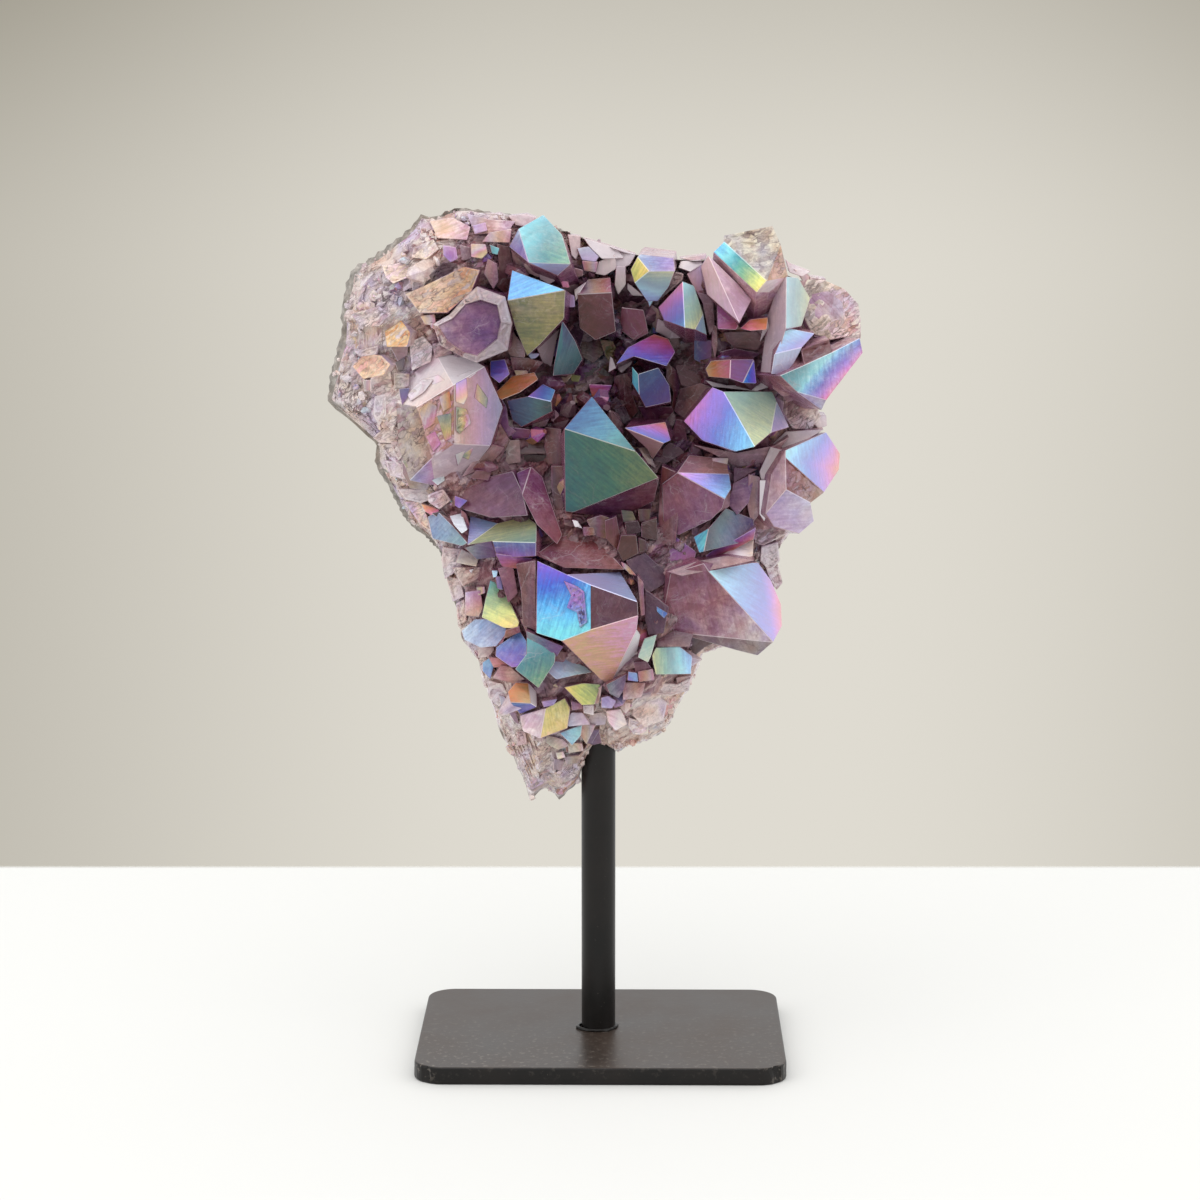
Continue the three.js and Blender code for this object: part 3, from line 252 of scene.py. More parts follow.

# Smaller faces between the large crystals: corners (x z x z ...) as lined up from the eye, how far the
# face stands out of the crust, how much it faces right and up, and its film as above, whose paler or
# darker part is again partly painted light and shade. Some are broken rough, and some lie on a larger
# crystal.
shards = [
    # top left ledges
    ("-46 231 -40 232 -35 229.5 -36 226 -44 226.5", 3, -.2, .5, "peach pink 0 .35 -.1"),
    ("-36 233 -30 231.5 -23 231 -25 228 -34 227.5", 3, 0, .4, "pink violet 0 .25 -.05"),
    ("-34.5 229.8 -31 230.8 -30.5 228.5 -34 227.6", 4, -.1, .3, "violet magenta 0 .5 .2"),
    ("-30 228 -24 229 -24.5 225.3 -32 225.5", 4.5, .1, .2, "peach rose 0 .3 0"),
    ("-25 232.5 -20 233 -17.3 232 -20 229.5 -23 230", 3, .2, .4, "pink pink 0 .15 .3"),
    ("-42.5 224.6 -39 224 -38.5 221 -40.5 220 -42.5 222", 4, -.2, 0, "violet magenta 40 .55 0"),
    ("-38 224.7 -35 224 -34.8 221 -37.5 220.5", 3, .3, -.2, "violet royal 0 .15 -.3"),
    ("-35 225 -31 224.8 -30.5 222.5 -32 221 -35 221.5", 4, 0, .2, "amber lime -60 .5 .1"),
    ("-30 224.8 -27.3 223.8 -27.8 222 -29.5 222.5", 4, .2, .2, "teal cyan 0 .75 0"),
    ("-28 225 -24.7 224.3 -23.6 219 -25.5 211.5 -28.2 213.5 -27.4 219", 2, .5, 0,
     "amber amber 0 .1 -.55"),
    ("-30.5 221 -28 219.7 -27.6 215 -29 212.8 -31.5 217", 3.5, .3, 0, "pink violet 0 .1 .05"),
    ("-24.5 224.5 -21.5 225.5 -19.7 220.5 -20.5 218 -23.7 219.3", 4, -.3, -.2, "rose peach 0 .15 .05"),
    ("-20.8 219.7 -16.5 219.7 -15.2 216 -17.5 216.2 -20.3 217.7", 6, 0, -.4, "amber rose 0 .5 .4"),
    ("-17.5 219.7 -12.3 219.7 -11.6 215.6 -14 214.2 -16.5 215.6", 7, .1, -.3, "magenta rose -60 .5 .6"),
    ("-12 216.6 -8.2 219.5 -8 216 -11 214.6", 3, .4, -.3, "amber amber 0 .2 -.3"),
    ("-11 215.2 -8.9 215 -8.5 213.2 -10.4 213.3", 6, .2, 0, "rose rose 0 .6 .05"),
    ("-9 227.5 -5.5 227 -5.6 223 -6.8 220.8 -8 222", 4, .3, .2, "pink pink 0 .1 .45"),
    ("-6.5 223.8 -3.2 224.3 -.5 221.6 -1.5 220.2 -5.2 220.7", 5, 0, .3, "sky violet -80 .45 .3"),
    ("-4.8 226.6 .5 225 4.2 223.9 6.2 221.2 .2 221 -3.2 224.3", 8, .2, .5, "pink peach 0 .1 .75"),
    ("4.3 223.8 9.4 222.2 7.7 219.3 5 218.3 2.8 220.2", 8.5, .2, .3, "silver pink 0 .15 .7"),
    ("-.7 220.3 3.7 222.2 4.2 218.4 1 216.5 -1.6 217", 7, -.2, 0, "peach peach 0 .25 .55"),
    ("-5.2 220.5 -.8 220.2 -1.3 217.3 -4.7 217.9", 5, 0, -.2, "rose peach 0 .35 .05"),
    ("-8 218.8 -4.8 218 -4.8 216.4 -9.6 215.4", 4, -.2, -.2, "gold amber 0 .15 .1"),
    ("-7.3 212.6 -3.9 214.9 -5.4 212.4 -6.9 209.6", 7, -.6, .3, "gold peach 0 .65 .65"),
    ("-8.9 211.6 -7.2 211.2 -7 208 -8.6 208", 6, -.2, 0, "magenta violet 0 .6 .3"),
    ("4 219 6.6 219 6.7 214.2 4.6 211.4 3.6 214", 7, -.2, -.1, "silver lime -80 .2 .5"),
    ("4.4 211.6 6.7 214.3 8 212 12.2 211 12.8 208.4 12.7 205.3 8 208 5.5 209", 1.5, .1, -.5,
     "royal royal 0 .05 -.75"),
    ("7 214.6 8.6 213.5 11.6 211 8.4 211.2 7 213", 5.5, -.1, -.3, "peach peach 0 .1 .55"),
    ("12.2 210.6 14.1 209.7 13 208", 5, .1, 0, "azure cyan 0 .85 .3"),
    ("13.3 209 15.4 207.5 17.2 205 15.2 201.6 13.8 203 13 206", 3.5, -.5, -.1, "peach rose 0 .15 .1"),
    ("15.2 205 20 202.8 24 202 28.3 200.2 18.5 199.6 14.6 201.6", 7, 0, -.5, "rose violet 0 .08 .3"),
    ("17.4 213.6 20 217.6 22.2 217 21.9 215.3 15.4 209.6", 5.5, -.3, .2, "pink amber 0 .15 .3", "rough"),
    ("23 217 26.8 219.7 28 215.5 27.5 212 26 211.5 24 215", 4, 0, 0, "rose violet 30 .6 .35"),
    ("20.8 218.6 21.4 220.4 26.8 220.8 27.4 219.6 24 217.5", 7.5, 0, .5, "gold pink 0 .3 .65"),
    ("21 221.2 28.4 222.2 28 220.8 24 220.6", 5.5, 0, .5, "pink violet 0 .2 .35"),
    ("25.8 212 28 211.6 30.2 210.4 30.6 203 29.3 200.4 28.2 205 27.4 209", 5, .5, 0,
     "rose rose 0 .08 .15"),
    ("29.8 203.5 31.2 203 31.5 198 30.8 194 29.8 198", 4, -.3, 0, "pink peach 0 .1 .05"),
    # the recess
    ("-8.4 205 -5 206.4 -4.6 201 -6 196 -8.4 199.4", 2, -.3, 0, "violet violet 0 .1 -.6"),
    ("-6.5 199.4 -.5 199.6 1.6 196.4 -2 193 -6 195", 2.5, .1, .3, "amber lime 0 .1 -.55"),
    ("-.5 199.4 3.2 199 5 195 3.4 191.8 1 195", 3.5, -.2, .1, "lime peach 0 .15 -.2", "rough"),
    ("-5.4 193.2 -1 193 2.4 190 1.2 186.4 -4.4 187", 1, 0, .3, "violet violet 0 .05 -.95"),
    ("-8.7 189.9 -5.4 189.6 -6 187.8 -8 188", 3, -.2, .2, "lime lime 0 .5 -.35"),
    ("-12 189.4 -7 190.8 -9 188 -11.5 187.3", 3.5, -.1, .4, "amber gold 0 .5 .25"),
    ("-3.4 187.2 3 187 1.6 184 -2.5 183.8", 4, 0, -.2, "amber violet 70 .65 -.25"),
    ("-9 184.2 -3.8 184.5 -5 182.5 -7.5 182", 4, -.2, .2, "peach rose 0 .35 0"),
    ("2 190.4 4.2 191.6 3.2 194.4 2.4 195", 5.5, -.3, .3, "pink silver 0 .2 .4"),
    ("4.4 191.4 8.9 194.6 8 192.4 5.4 190.2", 5, -.3, .4, "pink pink 0 .2 .45"),
    ("3.6 189.4 8.2 190.6 8.2 185 10.2 180 8 177.6 3.6 181", 3.5, -.4, -.1, "rose amber 0 .08 -.4"),
    ("8.4 192.3 11 194.3 15 192.6 17.2 190.4 15 189 9.5 190.3", 5, 0, .5, "amber violet 0 .25 -.35"),
    ("17.8 193.2 20.3 191 21.6 187 21 181 19 179.4 19.6 185 17.5 189", 4, .5, 0, "pink violet 0 .1 -.1"),
    ("10 181.3 19.2 181.2 20.4 178.3 12 177.2", 3.5, 0, -.5, "violet rose 0 .1 -.3"),
    ("17 200.2 19.4 199.6 24.6 199 25 193.3 20.3 192.3 19.4 195", 1, 0, -.2, "rose rose 0 .05 -.8"),
    ("25 199.4 30 199.2 29.9 194.4 27 193 25 194", 3, -.1, .1, "azure magenta 0 .5 -.6"),
    ("30.2 199.2 33 200.2 35.6 197 33 194.6 31.4 196", 2, .3, .1, "rose violet 0 .15 -.55"),
    ("33 201.3 42 201.6 44.2 199.4 42 196.4 36 197 34 199", 3, 0, -.2, "peach rose 0 .06 -.35"),
    ("32 196 36 197 43 195.6 41 194 33 194", 4, .1, -.4, "violet violet 0 .1 -.3"),
    ("20 192.3 25 193 28.6 191.4 29 188.8 25 186 21.6 187", 2.5, .1, .3, "rose amber 0 .12 -.5"),
    ("28 188.4 34 187 42.4 187 46 190 47.6 187.2 42 185.4 30 186.6", 4.5, 0, .6, "rose pink 0 .08 .7"),
    ("19.8 180 21.4 186 27 187.6 30 186.4 25.4 181 22.8 177.6", 4.5, -.4, .3, "pink rose 0 .06 -.08"),
    ("20.4 177.8 22.8 177.4 23.4 172 21 170 18.8 172.6", 3, -.3, -.2, "rose rose 0 .06 -.1"),
    # round the middle crystal
    ("-25.6 205 -23.4 201 -20.4 197 -20.6 194.4 -24.6 194.8 -27 199", 4, -.5, -.1,
     "rose peach 0 .12 .15"),
    ("-17.4 197 -15 200 -10.8 204.3 -12 199 -13.4 192 -16 193.4", 6, .4, -.2, "rose rose 0 .12 .35"),
    ("-20.2 195.6 -16.4 195.6 -17.5 194.3 -19 194", 5, 0, .3, "sky violet 0 .6 .35"),
    ("-24.6 194.6 -20 194.4 -15.6 193.2 -18 190.3 -24 190.8", 3.5, 0, -.3, "peach rose 0 .08 -.05"),
    ("-17 191.8 -13 189.6 -12.4 187.4 -15.5 187.3 -18.8 190", 2.5, .3, 0, "amber amber 0 .06 -.6"),
    ("-23.6 191 -20 191 -19.4 189.4 -23 189.3", 4.5, 0, .4, "lime peach 0 .2 .05"),
    ("-13.6 185 -12.2 186.2 -10.4 183.2 -11.6 180.6 -13.2 182", 4, .2, 0, "gold magenta 90 .65 -.15"),
    ("-13.4 181 -10.6 178.6 -10.6 175.6 -13.6 177.4 -14.6 179.4", 3.5, .1, .1, "rose rose 0 .3 .15"),
    ("-19 177.2 -15.4 180 -13 179.7 -15 175.8 -18.5 175.2", 4.5, .2, -.2, "pink violet 0 .12 .1"),
    ("-27.4 184.3 -25.6 181 -25 176 -23 174.4 -25 172.8 -28.4 178", 3.5, -.3, -.1,
     "violet magenta 0 .25 -.35"),
    ("-25 175.6 -19.4 175 -18 172.8 -24 172.2", 3.5, 0, -.5, "violet rose 0 .3 -.4"),
    ("-31 178.6 -27.6 177 -24.6 172 -28 165.6 -31.6 171", 3.5, .4, 0, "pink peach 0 .08 .02", "rough"),
    ("-27.6 172 -22 172 -21.8 166 -27.8 165", 2.5, -.1, -.1, "lime peach 0 .08 .1"),
    ("-22 172.2 -15 172 -14 168.4 -22 168.2", 2, 0, .5, "peach amber 90 .12 -.7"),
    ("-21.6 168 -15 168 -13.4 165 -16 164.4 -21 165.4", 1.5, 0, -.1, "amber amber 0 .05 -.85"),
    ("-15.2 175.6 -10.8 175 -10.8 165.4 -14 165.4 -15.4 170", 4, -.4, 0, "rose peach 0 .06 -.2"),
    ("-13.6 165 -10.2 165 -10.2 153 -12.4 152 -13.4 158", 3.5, -.2, 0, "peach rose 0 .08 -.45"),
    ("-7.6 152.2 3 156.4 15.8 161.6 14.4 155.4 8 152.2 0 151.2", 6, .1, -.9, "violet rose 0 .12 -.5"),
    ("10 169.9 13.5 170.3 14.2 166 16.4 163 12.4 166", 4.5, .5, .1, "amber peach 0 .25 .2"),
    ("14 166.6 18.4 171.6 21.6 170 22.8 168.5 17 165.4 14.6 164.8", 3, 0, .2, "violet rose 0 .08 -.45"),
    ("9.4 177 17.6 177.6 19.6 180 20.2 178 19.6 176 12 176.2", 3.5, 0, .5, "rose rose 0 .12 -.65"),
    ("4 184 8.2 179 9.2 177.2 6.4 176.2 2.4 182", 3, .3, .2, "violet violet 0 .08 -.55"),
    ("-10.2 152.2 -5 151.6 -3.6 149.6 -8 148.2 -10.2 148.8", 2, 0, .2,
     "silver silver 0 .1 -.5", "rough"),
    ("-7.4 149.9 -6.2 149.7 -5 147.8 -6.5 148.2", 4, .2, .4, "silver silver 0 .2 .95"),
    ("-4 150.2 0 151.6 4 150.2 4 147 1 145 -2 146", 4, 0, .1, "gold lime 0 .25 -.5"),
    ("-5 148.2 -2 148.2 -1.4 146 -4.8 145.8", 5, 0, .3, "violet silver 0 .2 -.25"),
    ("1 150 4.2 151.2 5.2 146 4.6 141.6 1.4 145", 4.5, .4, 0, "amber rose 90 .45 -.75"),
    ("5.4 153 8.6 152.6 9.6 150 6 149.6", 4, 0, .3, "sea lime 0 .35 -.5"),
    ("5.8 156.2 14.2 156.2 13.6 152.6 8 153 5.4 154", 2.5, 0, -.3, "violet violet 0 .1 -.6"),
    ("10 153.2 13.6 153.2 13.2 150 10.4 149.8", 4, .2, .2, "gold lime 0 .2 -.7"),
    ("6.4 149.6 10 150 11.2 147 7 145.8", 3.5, 0, .1, "rose magenta 0 .2 -.9"),
    ("11 149.4 15.2 150.8 15.4 144.6 11 145.4", 4, .2, .1, "peach lime 0 .08 -.75"),
    ("5.4 146 9.6 146 10.2 141 6 138.8 4.4 142", 3.5, -.1, .1, "amber gold -90 .25 -.8"),
    ("10.2 145.2 12.2 144.6 12.8 142 10.4 141.2", 4, .2, .2, "lime silver 0 .15 -.8"),
    ("6.8 139 12 141.2 15 138.4 18 136.2 17.2 132.6 13 130 9 134", 3.5, .3, .3,
     "violet royal 0 .12 -.65"),
    ("5.4 138.6 7 138 9.8 134.8 8 135.2 5.8 137.4", 5.5, .3, .5, "peach rose 0 .55 -.25"),
    ("9.9 135 11.6 133 12 124 10.9 123.6 10.4 129", 7, .7, .1, "pink violet 0 .1 -.05"),
    ("12 131.2 16 128.2 18.6 126.2 17.2 119 13 118.4 12 123", 3, -.1, 0, "royal violet 0 .15 -.6"),
    ("15 126.5 18.3 124.5 17.2 123 15.2 125", 4.5, 0, .4, "azure royal 0 .8 -.3"),
    ("15.4 117 20 119.7 25.2 118.6 24.2 115.2 15.4 115.2", 6, -.1, .7, "rose violet 0 .08 -.55"),
    ("25.2 118.8 34 117.6 28.4 115 25.6 112.6 24.4 115", 5, .2, -.5, "violet rose 0 .08 -.75"),
    # right side
    ("16.6 165 20.4 163.4 21 150 20 141 16.2 140 15.6 150 16 160", 5, -.5, 0, "rose peach 0 .06 0"),
    ("30 167.3 34.6 167.2 34.2 165 30.4 165.2", 7, 0, .6, "peach gold 0 .55 .4"),
    ("25 170.8 37 168.6 47 170.6 51 173 46 166.4 37 164.6 31 168", 5, 0, -.7, "rose rose 0 .06 .15"),
    ("36 164.6 42.6 164.2 40.5 163 36 160.4", 4, .1, .3, "violet rose 0 .1 -.3"),
    ("35.8 160.3 41.9 163.3 40.2 155 37 151.6 34.2 155 35.6 158.5", 5, -.1, .4,
     "royal violet 0 .14 -.05"),
    ("40 162.8 43.2 162 43.2 152 41 149 39.8 154", 5, .3, 0, "rose peach 0 .12 .1"),
    ("43 161.2 45.6 161.2 46.6 158 44.5 149.8 43 152", 7.5, -.2, .1, "peach peach 0 .35 .95"),
    ("27.6 139.4 30 141.6 35 144 42.2 148.2 41.6 145 34 140.8", 7, .1, -.6, "violet peach -60 .5 -.1"),
    ("32 140.3 41.6 145.2 41.4 140.2 36 139.4", 8, 0, .7, "peach gold 0 .55 .4"),
    ("18 136 26 138.8 34 140.4 42 139.2 29.6 136.4 22 134.8", 8, -.1, .9, "pink rose 0 .08 .12"),
    ("42 148.2 45 149.8 50.2 149.4 50 146 44 143.2 41.8 144", 4.5, .1, .2,
     "pink peach 0 .1 .2", "rough"),
    ("43.6 143 48.2 144.2 48.8 139 46 136 43.4 139", 4.5, .2, .1, "silver pink 0 .15 .5", "rough"),
    ("45 137 48.6 137 49.6 133 48 131 46 134", 4, .4, 0, "silver pink 0 .1 .25", "rough"),
    ("49.6 169.4 48 160.6 44.2 157.6 43 163.4 46 170.4", 7.5, -.4, 0, "pink rose 0 .08 .52"),
    ("46.4 171 50 174.4 60.4 175 56 172.4 49.6 169.8", 7.5, -.1, .7, "pink rose 0 .08 .59"),
    ("49.4 184 54 184.8 58.4 181.2 59.6 178.5 57 175.2 52 175 49.2 179", 4, .2, .1,
     "pink peach 0 .06 .02", "rough"),
    ("46.6 184.6 49.5 182.6 49.2 180 51.2 176.8 47 179.6", 4, -.1, .2, "violet royal 0 .15 -.15"),
    ("46.6 189.6 50 189.4 54.2 186.2 53 184.6 49 184 46.2 186.4", 5, -.2, -.2, "rose pink 0 .08 .02"),
    ("58.4 179.2 61 178.8 61.2 176 59 175.2 57.8 176.4", 4, .4, .1, "silver pink 0 .1 .5"),
    ("44.8 205.3 45.4 202.8 42.8 198.6 43.6 202.4", 4, .2, -.1, "peach rose 0 .1 .45"),
    ("56.4 217.6 51 219.6 49.6 220.8 50.6 217.4 54 216.2", 3.5, -.1, .6, "pink silver 0 .15 .45"),
    ("51.6 218.4 55.8 216.8 56.4 213 55.2 213.4 53.8 215.8", 4.5, .2, .2, "rose peach 0 .35 .25"),
    ("56 216.4 60.4 215.8 60.4 213 56.6 211.4", 4, 0, .3, "silver pink 0 .1 .3", "rough"),
    ("64.4 201.4 70 203.6 70.6 199.6 67.4 198.4 64.2 199.4", 4, .2, -.1,
     "gold silver 0 .25 .35", "rough"),
    ("62.6 199.4 66.6 199 69.4 198.2 64.6 195.6 62.4 196.6", 5, .1, .3,
     "lime silver 0 .25 .15", "rough"),
    # left side
    ("-59 219 -50.5 220.4 -45 219.8 -50.5 216.6 -56 214.3 -58 216", 2.5, .1, .6,
     "peach peach 0 .4 .2", "rough"),
    ("-53.4 213 -48 217.5 -45.4 219.2 -44.4 217 -49 214.2 -53.2 212.2", 3.5, .1, .1,
     "violet pink 0 .1 -.15"),
    ("-50.8 215 -46.4 216.2 -48.5 212.3 -51 212.5", 4, 0, -.2, "royal silver 0 .15 -.35", "rough"),
    ("-46.4 216.4 -42.6 220 -38.8 219.8 -38 216.2 -45 214.2", 2.5, .1, -.3,
     "violet rose 0 .1 -.75", "rough"),
    ("-53.2 212.2 -50 212.2 -49.4 210 -52.6 210.4", 4, 0, .4, "gold gold 0 .3 -.5", "rough"),
    ("-48.8 205.6 -44.8 206.2 -44.4 203 -47.6 203.4", 5, 0, .1, "amber peach 0 .65 .1"),
    ("-46.2 204 -44.4 203.6 -44.6 201.8 -46 202.6", 5.5, 0, .1, "gold yellow 0 .7 .1"),
    ("-67.4 206 -60 208.2 -56.6 206 -60 202.8 -65 202.8", 3.5, -.2, .1, "pink violet 0 .12 .1", "rough"),
    ("-50.4 224 -45 226.2 -43.6 223.5 -47 220.8 -51 221.3", 3, 0, .4, "gold silver 0 .3 -.02", "rough"),
    ("-66.8 196 -60 197.8 -60.4 195.3 -65 194.6", 3.5, -.1, .3, "violet silver 0 .15 .1", "rough"),
    ("-62.4 188.8 -57 190.8 -56.2 186 -59 183.6 -62.6 185", 3.5, .2, -.1,
     "violet pink 0 .12 -.2", "rough"),
    ("-64.4 188.3 -62.3 188.3 -62.4 185.3 -64.2 185.8", 4, -.2, 0, "gold peach 0 .5 -.37"),
    ("-58.6 184.8 -56 185.2 -54.2 180 -56.6 174.3 -60 178", 3.5, .3, 0,
     "silver silver 0 .15 .15", "rough"),
    ("-61.4 184 -58.4 184.6 -58.2 179 -60.2 175.8 -61.8 179", 3.5, -.3, 0,
     "silver silver 0 .1 .5", "rough"),
    ("-62 172.6 -58 176.2 -55 175.6 -55 171 -60 171.3", 3, -.1, -.2, "peach silver 0 .12 .05", "rough"),
    ("-57.2 171.6 -54 171.6 -53.4 168 -55 166.3 -56.6 169", 4, .1, .1, "pink silver 0 .15 .4", "rough"),
    ("-56.8 197 -52 198.8 -52.4 195 -55 193.4", 5, 0, -.3, "amber rose 0 .4 -.6"),
    ("-55.8 193 -53 194.6 -53.4 191.3 -55 190.8", 3, .1, 0, "amber amber 0 .1 -.75"),
    ("-51.8 198.6 -48 200.2 -45.4 197.5 -46 193.3 -51.2 190.8", 4.5, 0, .2,
     "pink peach 0 .15 .3", "rough"),
    ("-45.6 198.2 -42 198.6 -40 195.5 -45 194.3", 4, .1, -.1, "violet pink 0 .1 .1", "rough"),
    ("-56 190.3 -51.8 190 -52 186.3 -56 185.8", 3.5, -.1, 0, "gold peach 0 .25 -.4", "rough"),
    ("-54.8 185.9 -51.8 186.2 -52.5 183.4 -54 181.3", 3, -.1, 0, "royal magenta -80 .65 -.57"),
    ("-39.7 168 -36.8 169.2 -38 166.5 -39 164.8", 2.2, 0, .3, "cyan pink 0 .4 .6", "on"),
    ("-46.2 161 -42.8 162.7 -42.4 161 -44.5 159.6", 3, 0, .5, "cyan sea 0 .55 .35"),
    ("-54.2 167 -51 168.7 -45.8 161.5 -47.3 158.3 -52 158.8 -54 163", 4, -.2, -.2,
     "violet pink -60 .35 -.55"),
    ("-54.2 166.4 -51 166.2 -50.4 165 -53 164.3", 5.2, -.1, .2, "teal silver 0 .4 -.45"),
    ("-60.2 171 -57 171 -50.8 166.4 -54 164.4 -57.6 167", 3, -.2, .2, "gold peach 0 .25 .15", "rough"),
    ("-58.8 166.4 -55 166.2 -52.4 161 -57.4 162.3", 2.5, -.2, 0, "peach pink 0 .2 .4", "rough"),
    ("-55.4 158.6 -47 158.8 -45 156 -49 154.8 -53.4 155.8", 4, 0, .5, "silver silver 0 .1 .6", "rough"),
    ("-53.6 155 -49 155.6 -47 150 -45.8 146.3 -49.4 149", 4, -.3, .1, "violet pink 20 .4 .15", "rough"),
    ("-49.2 154.7 -44 153 -45 150.8 -48 152.5", 5, -.1, .3, "gold magenta -60 .75 0"),
    ("-46.2 151.9 -43 152.7 -40.2 149.3 -43 149.6", 4, .1, -.1, "violet magenta 0 .2 -.9"),
    ("-47.2 157 -43 158.7 -40.8 155.5 -44 153 -47 155", 5, 0, .1, "violet silver 0 .2 .15", "rough"),
    ("-39.9 156.8 -36.3 155.5 -38.5 153.3 -39.9 154.2", 4.5, -.2, .2, "violet royal 0 .6 -.05"),
    ("-38.2 153 -36.8 152 -34.9 146 -36 144.3 -38 147", 4.5, .1, 0, "amber rose 0 .3 -.15"),
    ("-38 161.8 -30 165.2 -26 170 -31 171.4 -35 166.2", 4, .3, -.4, "peach rose 0 .1 .1"),
    ("-35.6 161.6 -30.6 161 -29.8 163.7 -34 163.8", 3, 0, .2, "amber amber 0 .06 -.4"),
    ("-37.2 142.5 -30 144.8 -28.4 140 -34 139.3", 5, -.1, -.6, "teal violet 0 .3 -.25"),
    ("-28.9 140.9 -18.8 139.6 -20 136.3 -27 137.3", 7, 0, -.5, "violet peach -90 .45 -.1"),
    ("-38.2 142.2 -33.3 140 -34 137.3 -39.7 138.4", 4.5, -.1, .5, "sky pink -80 .35 .3"),
    ("-43.2 142.7 -38.4 142.2 -38 137 -42.7 133.8 -43.6 139", 4, -.3, .1,
     "pink peach 0 .12 .25", "rough"),
    ("-40.7 137 -35.5 137.2 -31 137.2 -33 134 -38 131.8", 4, 0, -.2, "rose peach 0 .1 .02", "rough"),
    ("-36.2 136.3 -34.7 136.8 -35.5 135.3", 6, .1, .4, "silver silver 0 .1 1"),
    ("-28.2 136.8 -24 137.7 -22.8 130 -25.4 127.3", 6, .1, -.1, "violet rose 0 .15 -.15"),
    ("-23.2 138 -17.9 139 -17.9 119.6 -21.4 121 -21.8 130", 9, -.5, 0, "rose peach 0 .06 -.25"),
    ("-30 136.3 -28.1 136.2 -28.5 134.4 -29.6 134.3", 7, 0, .4, "cyan sky 0 .8 .3"),
    ("-28.9 134.6 -27.1 134.6 -26.8 130.8 -28.4 131.3", 7, .5, .1, "violet royal 0 .55 .15"),
    ("-37.2 130.2 -33 130.8 -32.3 126 -33.4 123.3 -37.2 123.8", 5, -.1, 0, "violet silver -60 .35 .05"),
    ("-34.2 131.6 -31.8 131.8 -31.6 130 -33.6 129.3", 5, 0, .3, "sea silver 0 .45 .15"),
    ("-39.7 127 -37.4 128.2 -36.8 122.3 -39.2 120.8", 4, -.4, 0, "peach rose 0 .2 .1", "rough"),
    ("-42.4 134.8 -38.6 134 -37.4 129 -40.6 127.6", 4, -.4, .1, "peach pink 0 .15 .25", "rough"),
    ("-22.2 122.8 -17.8 122.2 -17.4 119 -20.6 119.3", 6, 0, -.2, "gold amber 0 .2 .05"),
    ("-20.6 119.5 -10.3 115.2 -12.2 112.3 -16 115.3 -20.2 117.5", 10, -.1, -.8, "teal violet 0 .35 -.1"),
    ("-26.2 119.7 -22.4 120.8 -22 119.2 -26.7 117.3", 6, 0, .2, "gold rose 0 .3 -.3"),
    ("-28.2 118.3 -26 118.8 -27 115.9 -29.5 114.9", 5, -.3, 0, "magenta rose 0 .4 -.15"),
    ("-31 112.3 -26 111.8 -25.4 109.5 -29.5 109.3", 5, 0, .1, "rose amber 0 .55 .05"),
    ("-32.6 110.6 -30.7 112 -29.5 109.5 -30.4 106 -32.6 108.4", 5, -.4, 0, "sky royal -80 .75 -.1"),
    ("-33.6 115.2 -29 114.9 -30.4 112.3 -33.8 112", 4, -.2, .2, "silver pink 0 .1 .25"),
    ("-27.6 109.9 -25 109.6 -20.8 106 -24 104.8 -29.7 106.3", 5.5, 0, -.1, "violet silver 0 .18 0"),
    ("-31 105.7 -27 104.7 -25.4 101 -28 98.3 -31 101", 4, -.3, 0, "pink silver 0 .1 .35", "rough"),
    ("-28.2 101.6 -26.4 101.1 -25.3 98 -27 96.3", 5, -.1, 0, "sky violet 0 .35 -.05"),
    ("-25.8 97.2 -23.4 96.7 -22.6 93.3 -24 94.3", 5, 0, -.1, "violet magenta 0 .5 -.55"),
    ("-16.4 99.8 -12 100.6 -13 98.8 -15.8 98.2", 7, 0, .3, "violet royal 0 .5 .1"),
    ("-8.3 100 -5.4 99.2 -5 97.8 -8 97.3", 5, 0, .2, "violet rose 0 .4 -.45"),
    ("-8.2 96.8 -5 96.8 -3 93.4 -9 92.8 -9.7 94.5", 5, -.1, .3, "sky violet 0 .35 .25"),
    ("-5.2 98.8 -2 98.9 -2 96 -4.8 96.6", 5.5, 0, .3, "silver silver 0 .1 .75", "rough"),
    ("-3.2 96.4 2 97.2 1.2 93.4 -4.5 92.8", 4.5, 0, .1, "pink silver 0 .12 .15"),
    ("1.3 97.2 5.5 97.8 7.2 93.5 4 91.6 1.8 94.3", 5, .1, .2, "peach gold 0 .5 .25"),
    ("0 100.9 2 101.5 4.2 100 3 97.9 0 98.1", 5.5, .1, .1, "royal violet 0 .55 .15"),
    ("-2.3 98.9 -.5 99.5 .4 104.6 -1.7 103", 6, -.4, 0, "violet silver 0 .25 .1"),
    ("1.3 104.5 7.2 107.6 6.2 103 4.8 100.8 2.3 102.1", 7, .3, -.3, "teal violet 0 .3 -.4"),
    ("6 105.2 12.2 105.2 11.2 101 6 100.3", 4.5, .1, -.1, "peach rose 0 .15 -.05"),
    ("7.4 108.2 9.9 107.9 10.2 105.4 7.2 105.8", 6, .1, .2, "gold azure 40 .7 .1"),
    ("10 108.2 14.2 109 14.7 105.9 10.4 105.3", 5, .1, .1, "rose peach 0 .3 .05"),
    ("9 110.7 12.5 111.2 14 109 9.5 107.8", 4, .1, 0, "rose violet 0 .12 -.45"),
    ("-5.8 93.6 -1.4 93.2 -4 87.8 -6.2 91", 5, 0, 0, "rose peach 0 .45 -.35"),
    ("-4.2 91.7 -.3 92 -2.4 88.2 -4.1 88", 6, .1, 0, "magenta violet 0 .5 -.7"),
    ("-15.2 90.6 -10.4 89.2 -8.8 87.3 -12 86.2 -15.2 88.3", 4.5, -.1, .1, "sage silver 0 .3 -.25"),
